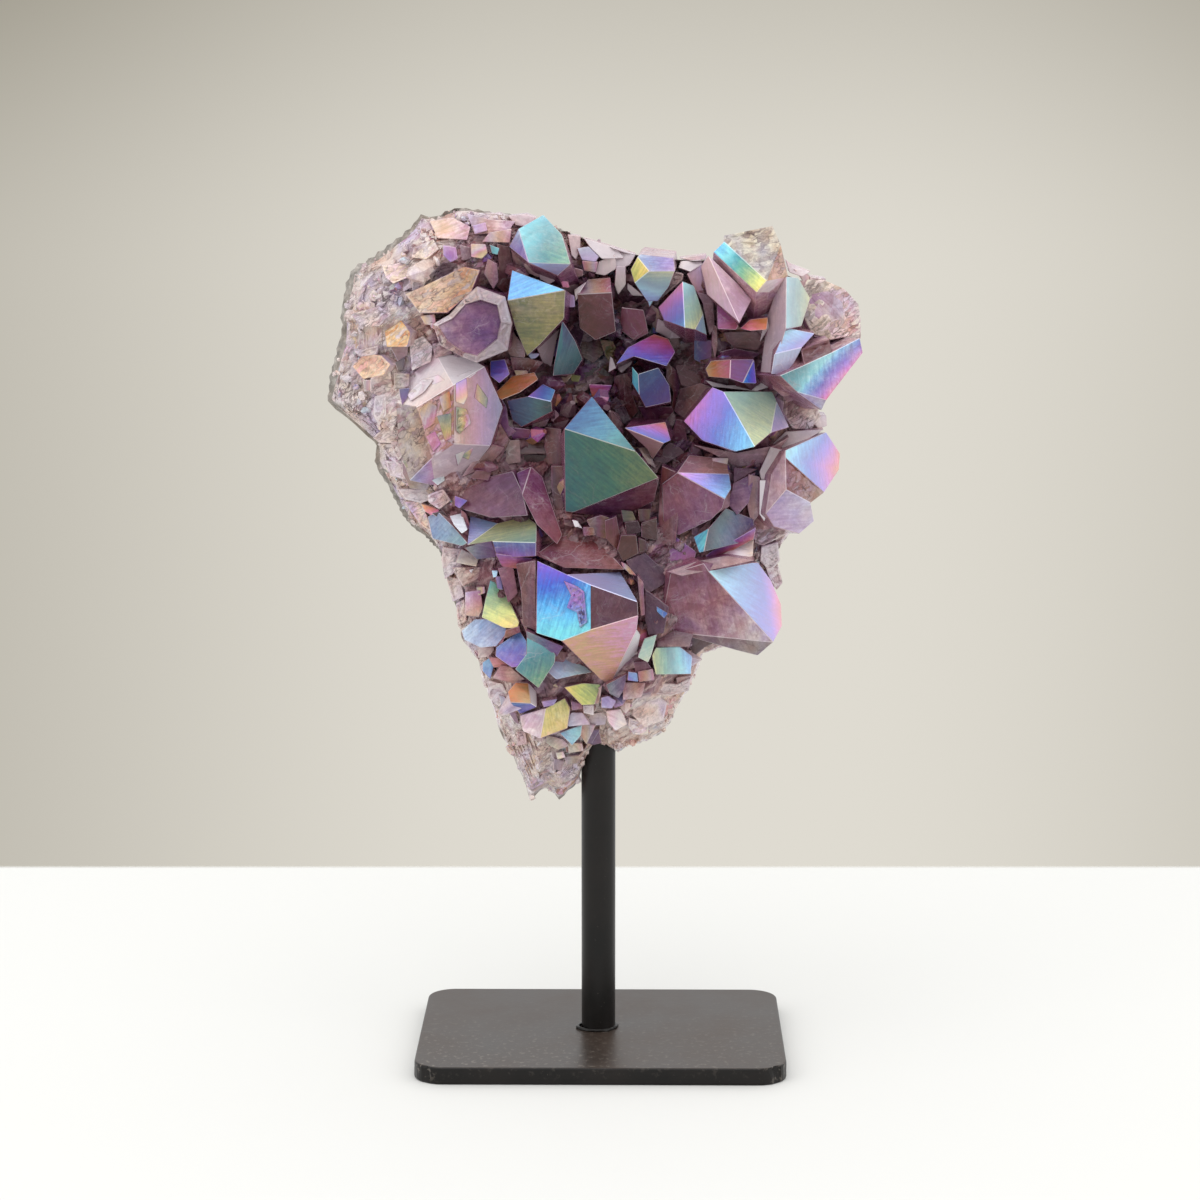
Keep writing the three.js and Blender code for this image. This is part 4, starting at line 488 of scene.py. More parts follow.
    ("-12.5 85.4 -10.4 85.8 -9.8 84.1 -12 83.5", 4.5, 0, .2, "sea silver 0 .3 -.05"),
    ("-13 83.8 -10.1 83.2 -10.9 80.3 -13.2 80.8", 4, 0, 0, "violet rose 0 .3 -.55"),
    ("-10.2 84.3 -6 84.7 -3.8 87.7 -6 82.5 -9.5 82.2", 4, 0, -.1, "peach rose 0 .3 -.52"),
    ("-9.2 88.2 -5.3 88.2 -4.8 86 -9 85.3", 4.5, .1, .1, "sea silver 0 .25 -.17"),
    ("-23.2 91.2 -20.8 91.2 -20.4 87.8 -23.2 87.3", 4, 0, 0, "rose rose 0 .3 -.17", "rough"),
    ("9 100.4 14.6 102.2 18.2 99.6 17.2 94.6 12 92.6 8.6 96", 4, .2, .1, "pink peach 0 .08 .1", "rough"),
    ("14.8 105.2 21 104.8 24.6 106.6 24.2 103 19 101.4 15 102", 4, .2, .3,
     "pink peach 0 .1 .4", "rough"),
    ("20.6 106.6 24.8 107.2 25 104.6 21 103.6", 5, .3, .1, "rose peach 0 .12 .15"),
    ("7.6 95.4 10.4 94.6 13 95.4 13 90.4 9 90.6 7.4 92.8", 5, .1, .1, "gold yellow 0 .4 .4", "rough"),
    ("-4.2 91.4 -.6 91.8 .2 88.2 -2.2 87.6 -4 88.4", 6.5, .1, -.1, "violet magenta 0 .6 -.75"),
    ("-8 150.2 -6.4 150 -5.6 148.4 -7.2 148.2", 5.5, .3, .5, "silver silver 0 .1 .95"),
    ("56 211.4 61 212.4 65 209.4 65.6 204 62.4 199.8 57.6 200 54.8 204.6", 1.2, 0, .1,
     "violet silver 0 .1 -.1", "on"),
    ("-49.4 180.4 -46.6 182.4 -44.4 181.2 -45 176.6 -48 174.6", 1.2, 0, 0,
     "gold peach -40 .6 -.3", "on"),
    ("-44 183.6 -41 185.4 -40.6 181 -42.8 179.6", 1.2, 0, 0, "peach amber 0 .6 -.15", "on"),
    ("-44.6 178.6 -40.6 179.4 -40.6 172.4 -42.4 171.6", 1.2, 0, 0, "teal silver -60 .5 -.2", "on"),
    ("-47.6 173 -45 174.4 -43.4 171 -45.6 168.8", 1.2, 0, 0, "rose magenta 0 .5 -.1", "on"),
    ("-39.4 187.4 -36.4 189 -36 184 -37.2 181.6 -39.4 182.4", 1.2, 0, 0, "violet pink -60 .8 .3", "on"),
    ("-39.2 189.4 -35.4 191 -33.6 190.4 -35.6 188.8", 1.2, 0, 0, "silver silver 0 .2 .8", "on"),
    ("-39.4 181.2 -36.4 180.4 -35.2 176.6 -38.4 173.6 -39.4 175", 5, 0, 0,
     "sea silver 0 .5 .1", "rough", "on"),
    ("-33.6 187.6 -30.6 183.4 -31 180.6 -34.4 183.6", 1.2, 0, 0, "silver sea 0 .35 .1", "on"),
    ("-38.4 167.6 -34.6 170 -36 166.6", 1.2, 0, 0, "cyan pink 0 .6 .2", "on"),
    ("-52.6 184.4 -48.4 188.6 -45.4 188.4 -48 185 -51.6 182.6", 5, 0, 0,
     "peach silver 0 .4 .6", "rough", "on"),
    ("-48 188.6 -44 189.8 -42.2 188.4 -45.6 187", 1.2, 0, 0, "gold peach 0 .6 .55", "on"),
    # cracked film on the big lower crystal
    ("-10.2 133.4 -6.4 131.8 -4.6 130.4 -3.8 122 -5.8 120.4 -6.6 124.6 -9.4 126 -8.2 129.4", 5, 0, 0,
     "cyan violet 60 .7 .1", "rough", "on"),
]


def activate(obj):
    bpy.ops.object.select_all(action="DESELECT")
    obj.select_set(True)
    bpy.context.view_layer.objects.active = obj


def edit(obj, pick=None):
    # edit mode with the faces that pick(polygon) chooses, or with everything selected
    activate(obj)
    if pick:
        chosen = [bool(pick(polygon)) for polygon in obj.data.polygons]
        obj.data.vertices.foreach_set("select", [False] * len(obj.data.vertices))
        obj.data.edges.foreach_set("select", [False] * len(obj.data.edges))
        obj.data.polygons.foreach_set("select", chosen)
    bpy.ops.object.mode_set(mode="EDIT")
    bpy.ops.mesh.select_mode(type="FACE")
    if not pick:
        bpy.ops.mesh.select_all(action="SELECT")


def pickEdges(obj, pick):
    # edit mode with the edges selected whose two ends satisfy pick
    edit(obj)
    bpy.ops.mesh.select_all(action="DESELECT")
    bpy.ops.mesh.select_mode(type="EDGE")
    objectMode()
    at = [v.co / mm for v in obj.data.vertices]
    for edge in obj.data.edges:
        edge.select = bool(pick(at[edge.vertices[0]], at[edge.vertices[1]]))
    bpy.ops.object.mode_set(mode="EDIT")


def objectMode():
    bpy.ops.object.mode_set(mode="OBJECT")


def getPoints(mesh):
    flat = np.empty(len(mesh.vertices) * 3)
    mesh.vertices.foreach_get("co", flat)
    return flat.reshape(-1, 3)


def setPoints(mesh, points):
    mesh.vertices.foreach_set("co", np.asarray(points, float).ravel())
    mesh.update()


def fromData(name, points, faces):
    mesh = bpy.data.meshes.new(name)
    mesh.from_pydata(points, [], faces)
    obj = bpy.data.objects.new(name, mesh)
    bpy.context.scene.collection.objects.link(obj)
    return obj


def joined(objects, name):
    bpy.ops.object.select_all(action="DESELECT")
    for obj in objects:
        obj.select_set(True)
    bpy.context.view_layer.objects.active = objects[0]
    bpy.ops.object.join()
    objects[0].name = name
    return objects[0]


def keep(obj, name, material, node):
    # a finished piece: placed in its mesh, kept inside the box of the solids, and named
    activate(obj)
    bpy.ops.object.transform_apply(location=True, rotation=True, scale=True)
    setPoints(obj.data, np.clip(getPoints(obj.data), *cadBox))
    obj.name = obj.data.name = name
    obj.data.materials.clear()
    obj.data.materials.append(material)
    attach(obj, "root")
    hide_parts(node)
    print("made", name, len(obj.data.polygons), "faces")


def seen(x, z, y):
    # millimetres where a listed place lies, at depth y before the stone is moved forward
    depth = y - stone["forward"]
    reach = (depth - eye.y) / (listPlane - eye.y)
    return eye.x + (x - eye.x) * reach, depth, eye.z + (z - eye.z) * reach


hubX, hubZ = stone["hub"]
ring = sorted((math.atan2(z - hubZ, x - hubX), x - hubX, z - hubZ) for x, z in stone["outline"])
ringAngle, ringX, ringZ = (np.array(column) for column in zip(*ring))


def outlineRadius(angle):
    after = np.searchsorted(ringAngle, angle) % len(ring)
    ax, az, bx, bz = ringX[after - 1], ringZ[after - 1], ringX[after], ringZ[after]
    ux, uz = np.cos(angle), np.sin(angle)
    return (ax * (bz - az) - az * (bx - ax)) / (ux * (bz - az) - uz * (bx - ax))


def shareAt(x, z):
    # 0 at the hub and 1 on the outline
    return np.hypot(x - hubX, z - hubZ) / outlineRadius(np.arctan2(z - hubZ, x - hubX))


def bump(x, z, middle, halfWidth, halfHeight):
    return np.exp(-(((x - middle["x"]) / halfWidth) ** 2 + ((z - middle["z"]) / halfHeight) ** 2) / 2)


def unevenness(x, z):
    return sum(height * np.sin(a[0] * x + a[1] * z) * np.sin(b[0] * x + b[1] * z)
               for height, a, b in stone["lumps"])


def frontDepth(x, z, share):
    hollow, belly, broken = stone["hollow"], stone["belly"], stone["brokenEdge"]
    bowl = hollow["depth"] * bump(x, z, hollow, hollow["radius"], hollow["radius"])
    rise = belly["rise"] * bump(x, z, belly, belly["width"], belly["height"])
    inset = np.hypot(x - hubX, z - hubZ) / np.maximum(share, .01) * (1 - share)
    slope = np.maximum(0, 1 - inset / broken["width"]) ** broken["curve"] * broken["fall"]
    return stone["rimDepth"] - broken["fall"] + bowl - rise + slope + unevenness(x, z)


def backDepth(x, z, share):
    back = stone["back"]
    rounding = np.sqrt(np.maximum(0, 1 - share ** back["roundness"]))
    return (stone["rimDepth"] + back["bulge"] * rounding
            + unevenness(x + back["lumpShift"], z) * back["lumpHeight"])


def ballStone(name, reachOf, frontOf, backOf, frontTurn):
    # a fine ball, each point carried out to the outline and to the front or the back, with the
    # share frontTurn of its faces in front
    bpy.ops.mesh.primitive_ico_sphere_add(subdivisions=stone["fineness"], radius=1)
    obj = bpy.context.object
    obj.name = name
    bx, by, bz = getPoints(obj.data).T
    turn = np.arccos(np.clip(-by, -1, 1)) / math.pi
    share = np.where(turn < frontTurn, turn / frontTurn, (1 - turn) / (1 - frontTurn))
    angle = np.arctan2(bz, bx)
    radius = share * reachOf(angle) * outlineRadius(angle)
    x, z = hubX + np.cos(angle) * radius, hubZ + np.sin(angle) * radius
    depth = np.where(turn < frontTurn, frontOf(x, z, share), backOf(x, z, share))
    setPoints(obj.data, np.array(seen(x, z, depth)).T * mm)
    return obj


# hollow and depth are painted shade: darker in the stone's hollow, partly its own wine colour, and darker
# the further back a place lies
shades = {"body": .47, "hollow": .2, "hollowShadeReach": 22, "rim": .49, "rimStart": .72,
          "bottomZ": 104, "bottom": .32, "leftX": -44, "left": .6, "soft": 4,
          "depth": .004, "depthShadeFrom": -12}


def shadeAt(x, y, z):
    # 0 is the dark wine of the recess, with painted shade in the hollow and deeper back, 1 the white
    # quartz of the broken rim
    share = np.minimum(1, shareAt(x, z))
    # painted shade where the hollow lies in shadow
    hollow = bump(x, z, stone["hollow"], shades["hollowShadeReach"], shades["hollowShadeReach"])
    rim = np.clip((share - shades["rimStart"]) / (1 - shades["rimStart"]), 0, 1)
    bottom = 1 / (1 + np.exp((z - shades["bottomZ"]) / shades["soft"]))
    left = 1 / (1 + np.exp((x - shades["leftX"]) / shades["soft"]))
    # painted shade: darker the further back a place lies
    deep = shades["depth"] * (y - shades["depthShadeFrom"])
    value = (shades["body"] - shades["hollow"] * hollow + shades["rim"] * rim
             + shades["bottom"] * bottom + shades["left"] * left - deep)
    return np.clip(value, 0, 1)


def cornerValues(obj, **columns):
    # one float for each face corner, which the materials read by name
    for name, values in columns.items():
        layer = obj.data.attributes.new(name, "FLOAT", "CORNER")
        layer.data.foreach_set("value", np.asarray(values, np.float32))


def cornerPoints(obj):
    index = np.empty(len(obj.data.loops), int)
    obj.data.loops.foreach_get("vertex_index", index)
    return getPoints(obj.data)[index] / mm


def linear(hexColour):
    # an sRGB hex value as Blender's linear colour
    parts = [int(hexColour[i:i + 2], 16) / 255 for i in (0, 2, 4)]
    return tuple(c / 12.92 if c <= .04045 else ((c + .055) / 1.055) ** 2.4 for c in parts) + (1,)


def addNode(tree, kind, inputs=None, out=None, stops=(), **settings):
    # a node with its settings; each input is a value, or the socket that it is linked from
    node = tree.nodes.new("ShaderNode" + kind)
    for key, value in settings.items():
        setattr(node, key, value)
    for key, value in (inputs or {}).items():
        if isinstance(value, bpy.types.NodeSocket):
            tree.links.new(value, node.inputs[key])
        else:
            node.inputs[key].default_value = value
    for i, (position, colour) in enumerate(stops):
        element = node.color_ramp.elements.new(position) if i > 1 else node.color_ramp.elements[i]
        element.position, element.color = position, linear(colour)
    return node.outputs[out] if out else next(socket for socket in node.outputs if socket.enabled)


def newMaterial(name):
    material = bpy.data.materials.new(name)
    material.use_nodes = True
    tree = material.node_tree
    return material, tree, tree.nodes["Principled BSDF"], addNode(tree, "TexCoord", out="Object")


def wire(tree, shader, **values):
    # the shader's inputs, by name with _ for each space
    for key, value in values.items():
        if isinstance(value, bpy.types.NodeSocket):
            tree.links.new(value, shader.inputs[key.replace("_", " ")])
        else:
            shader.inputs[key.replace("_", " ")].default_value = value


def perMillimetre(size):
    # the scale of a pattern whose cells are this many millimetres wide
    return 1 / (size * mm)


# Noises are (size, detail, distortion), the From lists say how much of each pattern goes in, the Edge,
# Where and Show pairs are slope and start, and bump is (strength, height).
amethyst = {"noises": {"cloud": (7, 7, .3), "vein": (2.2, 8, .6), "mottle": (1.1, 6, .2),
                       "hue": (12, 2, 0), "drift": (9, 3, .5), "veil": (6, 4, 1.6)},
            "noiseRoughness": .78, "inner": 5, "warp": 3, "crack": 13, "flake": (5.5, 1.4, .9),
            "flakeTurn": 35, "striaWidth": .7, "striaLength": 7, "striaDetail": 3,
            "bodyFrom": [("cloud", .5), ("vein", .6), ("inner", .16), ("rubble", .4)], "bodyLess": .63,
            "bodyStops": [(0, "220811"), (1, "fbf3ec"), (.2, "4a1e2f"), (.4, "70414f"), (.6, "9b727c"),
                          (.8, "cfb3b4")],
            "hueStops": [(.34, "f3c2a6"), (.66, "c4b4f2"), (.5, "fff4f2")], "hueShare": .6,
            "filmFrom": [("drift", .1), ("mottle", .06), ("stria", .07)], "filmRubble": .12,
            "wear": (-.5, 1.25), "grainFrom": [("mottle", .8), ("stria", .9)], "grainLeast": .17,
            "wispEdge": (-24, .6), "crackEdge": (-60, 1), "lineWhere": (5, -2.2),
            "lineShow": (-.35, .55), "lineStops": [(.45, "ecdfe6"), (.7, "8d6a74")],
            "gapEdge": (-9, 1), "gapWhere": (5, -2.1), "gapColour": "5c4544",
            "paleColour": "f3edf3", "deepColour": "24070f", "edgeHighlightColour": "efe6ea", "edgeHighlightShow": .35,
            "roughFrom": [("vein", .25), ("edge", .15), ("crush", .15)], "roughness": .06,
            "heightFrom": [("stria", .8), ("line", 1.5), ("rubble", 7)], "bump": (.45, .2),
            "metal": .4, "clear": .3, "coat": .4, "coatRoughness": .06, "ior": 1.544, "specular": .3}


def coatedAmethyst():
    # Amethyst with a vapour-deposited metal film: glassy flat faces, mirror-like where the film is
    # thick, smoky mauve and a little clear where it is thin, sugary and cracked where it is broken.
    material, tree, shader, place = newMaterial("coated_amethyst")
    film, share, tone, edge, shade, crush = (
        addNode(tree, "Attribute", out="Fac", attribute_name=name)
        for name in ("film", "share", "tone", "edge", "shade", "crush"))
    facet = addNode(tree, "Attribute", out="Vector", attribute_name="facetMap")
    pattern = {name: addNode(tree, "TexNoise", {"Vector": place, "Scale": perMillimetre(size),
                                                "Detail": detail, "Distortion": distortion,
                                                "Roughness": amethyst["noiseRoughness"]})
               for name, (size, detail, distortion) in amethyst["noises"].items()}
    pattern.update(edge=edge, crush=crush)
    growth = addNode(tree, "Mapping", {
        "Vector": facet, "Scale": (1 / amethyst["striaWidth"], 1 / amethyst["striaLength"], 1)})
    pattern["stria"] = addNode(tree, "TexNoise", {"Vector": growth, "Scale": 1,
                                                  "Detail": amethyst["striaDetail"]})
    pattern["inner"] = addNode(tree, "TexVoronoi", {
        "Vector": place, "Scale": perMillimetre(amethyst["inner"])}, out="Color")
    sway = addNode(tree, "TexNoise", {"Vector": place, "Scale": perMillimetre(amethyst["warp"]),
                                      "Detail": 4}, out="Color")
    sway = addNode(tree, "VectorMath", {0: sway, "Scale": amethyst["warp"] * mm}, operation="SCALE")
    swayed = addNode(tree, "VectorMath", {0: place, 1: sway}, operation="ADD")
    crack = addNode(tree, "TexVoronoi", {"Vector": swayed, "Scale": perMillimetre(amethyst["crack"])},
                    feature="DISTANCE_TO_EDGE")
    grainMap = addNode(tree, "Mapping", {"Vector": swayed, "Scale": [s * mm for s in amethyst["flake"]],
                                         "Rotation": (0, -math.radians(amethyst["flakeTurn"]), 0)},
                       vector_type="TEXTURE")
    flake = addNode(tree, "TexVoronoi", {"Vector": grainMap, "Scale": 1}, out="Color")
    gap = addNode(tree, "TexVoronoi", {"Vector": grainMap, "Scale": 1}, feature="DISTANCE_TO_EDGE")
    rubble = addNode(tree, "Math", {0: flake, 1: .5}, operation="SUBTRACT")
    rubble = pattern["rubble"] = addNode(tree, "Math", {0: rubble, 1: crush}, operation="MULTIPLY")

    body = shade  # the mauve of the quartz itself
    for name, amount in amethyst["bodyFrom"]:
        body = addNode(tree, "Math", {0: pattern[name], 1: amount, 2: body}, operation="MULTIPLY_ADD")
    body = addNode(tree, "Math", {0: body, 1: amethyst["bodyLess"]}, operation="SUBTRACT")
    bodyColour = addNode(tree, "ValToRGB", {0: body}, stops=amethyst["bodyStops"])
    warmth = addNode(tree, "ValToRGB", {0: pattern["hue"]}, stops=amethyst["hueStops"])
    bodyColour = addNode(tree, "Mix", {0: amethyst["hueShare"], 6: bodyColour, 7: warmth},
                         data_type="RGBA", blend_type="MULTIPLY")

    thickness = addNode(tree, "Math", {0: rubble, 1: amethyst["filmRubble"], 2: film},
                        operation="MULTIPLY_ADD")
    for name, amount in amethyst["filmFrom"]:  # thicker and thinner by half of each amount
        thickness = addNode(tree, "Math", {0: pattern[name], 1: amount, 2: thickness},
                            operation="MULTIPLY_ADD")
        thickness = addNode(tree, "Math", {0: thickness, 1: amount / 2}, operation="SUBTRACT")
    thickness = addNode(tree, "Math", {0: thickness}, operation="FRACT")
    filmColour = addNode(tree, "ValToRGB", {0: thickness},
                         stops=[(value, colour) for word, value, colour in filmStops])
    slope, least = amethyst["wear"]
    worn = addNode(tree, "Math", {0: pattern["vein"], 1: slope, 2: least}, operation="MULTIPLY_ADD")
    share = addNode(tree, "Math", {0: share, 1: worn}, operation="MULTIPLY", use_clamp=True)
    colour = addNode(tree, "Mix", {0: share, 6: bodyColour, 7: filmColour}, data_type="RGBA")
    grain = amethyst["grainLeast"]
    for name, amount in amethyst["grainFrom"]:
        grain = addNode(tree, "Math", {0: pattern[name], 1: amount, 2: grain}, operation="MULTIPLY_ADD")
    colour = addNode(tree, "VectorMath", {0: colour, "Scale": grain}, operation="SCALE")

    wisp = addNode(tree, "Math", {0: pattern["veil"], 1: .5}, operation="SUBTRACT")
    wisp = addNode(tree, "Math", {0: wisp}, operation="ABSOLUTE")
    wisp, line, here, gap, split = (  # wisps and cracks, where they are, and gaps between flakes
        addNode(tree, "Math", {0: source, 1: slope, 2: start}, operation="MULTIPLY_ADD", use_clamp=True)
        for source, (slope, start) in (
            (wisp, amethyst["wispEdge"]), (crack, amethyst["crackEdge"]),
            (pattern["drift"], amethyst["lineWhere"]), (gap, amethyst["gapEdge"]),
            (pattern["drift"], amethyst["gapWhere"])))
    slope, start = amethyst["lineShow"]
    thin = addNode(tree, "Math", {0: share, 1: slope, 2: start}, operation="MULTIPLY_ADD")
    line = addNode(tree, "Math", {0: line, 1: wisp}, operation="MAXIMUM")
    for factor in (here, thin):
        line = addNode(tree, "Math", {0: line, 1: factor}, operation="MULTIPLY")
    for factor in (crush, split):
        gap = addNode(tree, "Math", {0: gap, 1: factor}, operation="MULTIPLY")
    pattern["line"] = line
    lineColour = addNode(tree, "ValToRGB", {0: body}, stops=amethyst["lineStops"])
    # tone, paler or darker: on the large crystals and shards partly painted light and shade for the way
    # each face meets the light
    pale = addNode(tree, "Math", {0: tone, 1: 0}, operation="MAXIMUM")
    deep = addNode(tree, "Math", {0: tone, 1: -1}, operation="MULTIPLY", use_clamp=True)
    # pale lines along the bevels: a painted highlight on the crystals' edges
    edgeHighlight = addNode(tree, "Math", {0: edge, 1: amethyst["edgeHighlightShow"]}, operation="MULTIPLY")
    for amount, over in ((line, lineColour), (gap, linear(amethyst["gapColour"])),
                         (pale, linear(amethyst["paleColour"])), (deep, linear(amethyst["deepColour"])),
                         (edgeHighlight, linear(amethyst["edgeHighlightColour"]))):
        colour = addNode(tree, "Mix", {0: amount, 6: colour, 7: over}, data_type="RGBA")

    rough, height = amethyst["roughness"], pattern["mottle"]
    for name, amount in amethyst["roughFrom"]:
        rough = addNode(tree, "Math", {0: pattern[name], 1: amount, 2: rough}, operation="MULTIPLY_ADD")
    for name, amount in amethyst["heightFrom"]:
        height = addNode(tree, "Math", {0: pattern[name], 1: amount, 2: height},
                         operation="MULTIPLY_ADD")
    strength, distance = amethyst["bump"]
    normal = addNode(tree, "Bump", {"Strength": strength, "Distance": distance * mm, "Height": height})
    bare = addNode(tree, "Math", {0: 1, 1: share}, operation="SUBTRACT")
    metal, clear, coat = (
        addNode(tree, "Math", {0: where, 1: amethyst[name]}, operation="MULTIPLY")
        for where, name in ((share, "metal"), (bare, "clear"), (share, "coat")))
    wire(tree, shader, Base_Color=colour, Roughness=rough, Normal=normal, Metallic=metal,
         Transmission_Weight=clear, Coat_Weight=coat, Coat_Roughness=amethyst["coatRoughness"],
         IOR=amethyst["ior"], Specular_IOR_Level=amethyst["specular"])
    return material


quartz = {"grain": .9, "patch": 8, "grey": 2.5, "rust": 14, "detail": 6, "noiseRoughness": .65,
          "lightFrom": (.5, .3), "lightLess": .35,
          "stops": [(0, "1c0f14"), (1, "f0e9ea"), (.25, "4a3036"), (.5, "8a6b73"), (.75, "c9b6bd")],
          "rockStops": [(.3, "6b6763"), (.7, "beb8b2"), (.5, "938e88")],
          "rustStops": [(.4, "ffffff"), (.7, "b08f76"), (.58, "d9c6b6")], "rustShare": .7,
          "roughness": .45, "rindRougher": .3, "greyHeight": .8, "bump": (.6, .5), "ior": 1.544}


def granularQuartz():
    # Fine milky quartz, crushed and sugary, and matt grey-brown rind where the stone met its rock.
    material, tree, shader, place = newMaterial("granular_quartz")
    shade, rind = (addNode(tree, "Attribute", out="Fac", attribute_name=name)
                   for name in ("shade", "edge"))
    patch, grey, rust = (
        addNode(tree, "TexNoise", {"Vector": place, "Scale": perMillimetre(quartz[name]),
                                   "Detail": quartz["detail"], "Roughness": quartz["noiseRoughness"]})
        for name in ("patch", "grey", "rust"))
    grain = addNode(tree, "TexVoronoi", {"Vector": place, "Scale": perMillimetre(quartz["grain"])})
    light = shade
    for source, amount in zip((patch, grain), quartz["lightFrom"]):
        light = addNode(tree, "Math", {0: source, 1: amount, 2: light}, operation="MULTIPLY_ADD")
    light = addNode(tree, "Math", {0: light, 1: quartz["lightLess"]}, operation="SUBTRACT")
    colour, rock, stain = (
        addNode(tree, "ValToRGB", {0: source}, stops=quartz[stops])
        for source, stops in ((light, "stops"), (grey, "rockStops"), (rust, "rustStops")))
    rock = addNode(tree, "Mix", {0: quartz["rustShare"], 6: rock, 7: stain}, data_type="RGBA",
                   blend_type="MULTIPLY")
    colour = addNode(tree, "Mix", {0: rind, 6: colour, 7: rock}, data_type="RGBA")
    rough = addNode(tree, "Math", {0: rind, 1: quartz["rindRougher"], 2: quartz["roughness"]},
                    operation="MULTIPLY_ADD")
    height = addNode(tree, "Math", {0: grey, 1: quartz["greyHeight"], 2: grain},
                     operation="MULTIPLY_ADD")
    strength, distance = quartz["bump"]
    normal = addNode(tree, "Bump", {"Strength": strength, "Distance": distance * mm, "Height": height})
    wire(tree, shader, Base_Color=colour, Roughness=rough, IOR=quartz["ior"], Normal=normal)
    return material


# the lighter brown of the top is partly dust and partly a painted sheen of the light from above
paint = {"noises": {"orangePeel": (1.6, 4), "haze": (22, 6), "fleck": (.35, 1)}, "noiseRoughness": .6,
         "colour": "040404", "worn": "201a17", "dust": "4a3e36", "chip": "6f675f",
         "wornEdge": (1.6, -.45), "speckEdge": (18, -14), "bareEdge": (14, -8),
         "roughness": .19, "hazeRougher": .3, "bump": (.25, .1), "ior": 1.5, "shine": .28}


def paintedSteel():
    # Mild steel with a thin satin black paint: lighter brown on top, partly dust and partly a painted
    # sheen of the light from above, with pinholes and bare flecks.
    material, tree, shader, place = newMaterial("painted_steel")
    dust, chip = (addNode(tree, "Attribute", out="Fac", attribute_name=name)
                  for name in ("dust", "chip"))
    peel, haze, fleck = (
        addNode(tree, "TexNoise", {"Vector": place, "Scale": perMillimetre(size), "Detail": detail,
                                   "Roughness": paint["noiseRoughness"]})
        for size, detail in paint["noises"].values())
    worn, speck, bare = (
        addNode(tree, "Math", {0: source, 1: slope, 2: start}, operation="MULTIPLY_ADD", use_clamp=True)
        for source, (slope, start) in ((haze, paint["wornEdge"]), (fleck, paint["speckEdge"]),
                                       (peel, paint["bareEdge"])))
    # the top is lighter: dust, and a painted sheen of the light from above
    dusty = addNode(tree, "Math", {0: haze, 1: dust}, operation="MULTIPLY")
    bare = addNode(tree, "Math", {0: bare, 1: chip}, operation="MULTIPLY")
    bare = addNode(tree, "Math", {0: bare, 1: speck}, operation="MAXIMUM")
    colour = linear(paint["colour"])
    for amount, over in ((worn, "worn"), (dusty, "dust"), (bare, "chip")):
        colour = addNode(tree, "Mix", {0: amount, 6: colour, 7: linear(paint[over])}, data_type="RGBA")
    rough = addNode(tree, "Math", {0: haze, 1: paint["hazeRougher"], 2: paint["roughness"]},
                    operation="MULTIPLY_ADD")
    strength, distance = paint["bump"]
    normal = addNode(tree, "Bump", {"Strength": strength, "Distance": distance * mm, "Height": peel})
    wire(tree, shader, Base_Color=colour, Roughness=rough, Normal=normal, IOR=paint["ior"],
         Specular_IOR_Level=paint["shine"])
    return material


# How a crystal is cut and painted, how a shard goes into the stone, and how broken faces are dented.
# the ridge values set how strongly the bevels get a painted highlight
crystalCut = {"edge": .15, "flattenRounds": 80, "sameFace": .05, "flatEnough": .995, "narrow": .5,
              "edgeHighlight": .45, "rootEdgeHighlight": .3, "rootFilm": ("rose", .02, 5), "rootShare": .15,
              "rootTone": -.05, "striaOffsets": 17}
shardCut = {"root": (0, 9, 0), "lift": .6, "onRoot": (0, 1.2, 0), "onLift": .15}
brokenCut = {"cuts": 7, "height": .6, "size": (2.4, 1.8, 1), "inset": .3, "facing": .98,
             "draw": 7.3, "middle": .5, "spread": .9, "tilt": 1.2}


def steps(point, size):
    # 0 to 1: broken crystal, as tilted flat cells with steps between them
    at = Vector(p / s for p, s in zip(point, size))
    cell = noise.voronoi(at)[1][0]
    tilt = noise.noise_vector(cell * brokenCut["draw"])
    height = brokenCut["middle"] + brokenCut["spread"] * tilt.x + (at - cell).dot(tilt) * brokenCut["tilt"]
    return min(1, max(0, height))


def rows(text):
    # "1 2 3, red 5" as its numbers and words, a list for each part between commas
    return [[word if word.isalpha() else float(word) for word in row.split()] for row in text.split(",")]


def readCrystal(corners, faces, film, root, rough=""):
    return {"corners": rows(corners), "faces": [[int(c) for c in face] for face in rows(faces)],
            "film": rows(film), "root": rows(root)[0], "rough": [int(f) for f in rough.split()],
            "edgeHighlight": 1}


def drawFor(polygon, count):
    # a whole number below count, from where the face is and not from its place in the list
    return int(sum(abs(c) for c in polygon.center) / mm * 10) % count


def flatten(corners, faces):
    # slides each corner along its line of sight until every face is flat
    points = [Vector(seen(x, z, y)) for x, z, y in corners]
    for turn in range(crystalCut["flattenRounds"]):
        moves = [[] for point in points]
        for face in faces:
            middle = sum((points[c] for c in face), Vector()) / len(face)
            normal = sum((points[c].cross(points[face[(i + 1) % len(face)]])
                          for i, c in enumerate(face)), Vector())
            for c in face:
                moves[c].append(normal.dot(middle - eye) / normal.dot(points[c] - eye))
        for c, found in enumerate(moves):
            if found:
                points[c] = eye + (points[c] - eye) * (sum(found) / len(found))
    return points


def facePlane(points, face):
    middle = sum((points[c] for c in face), Vector()) / len(face)
    normal = sum(((points[c] - middle).cross(points[face[(i + 1) % len(face)]] - middle)
                  for i, c in enumerate(face)), Vector()).normalized()
    return (middle, -normal) if normal.y > 0 else (middle, normal)


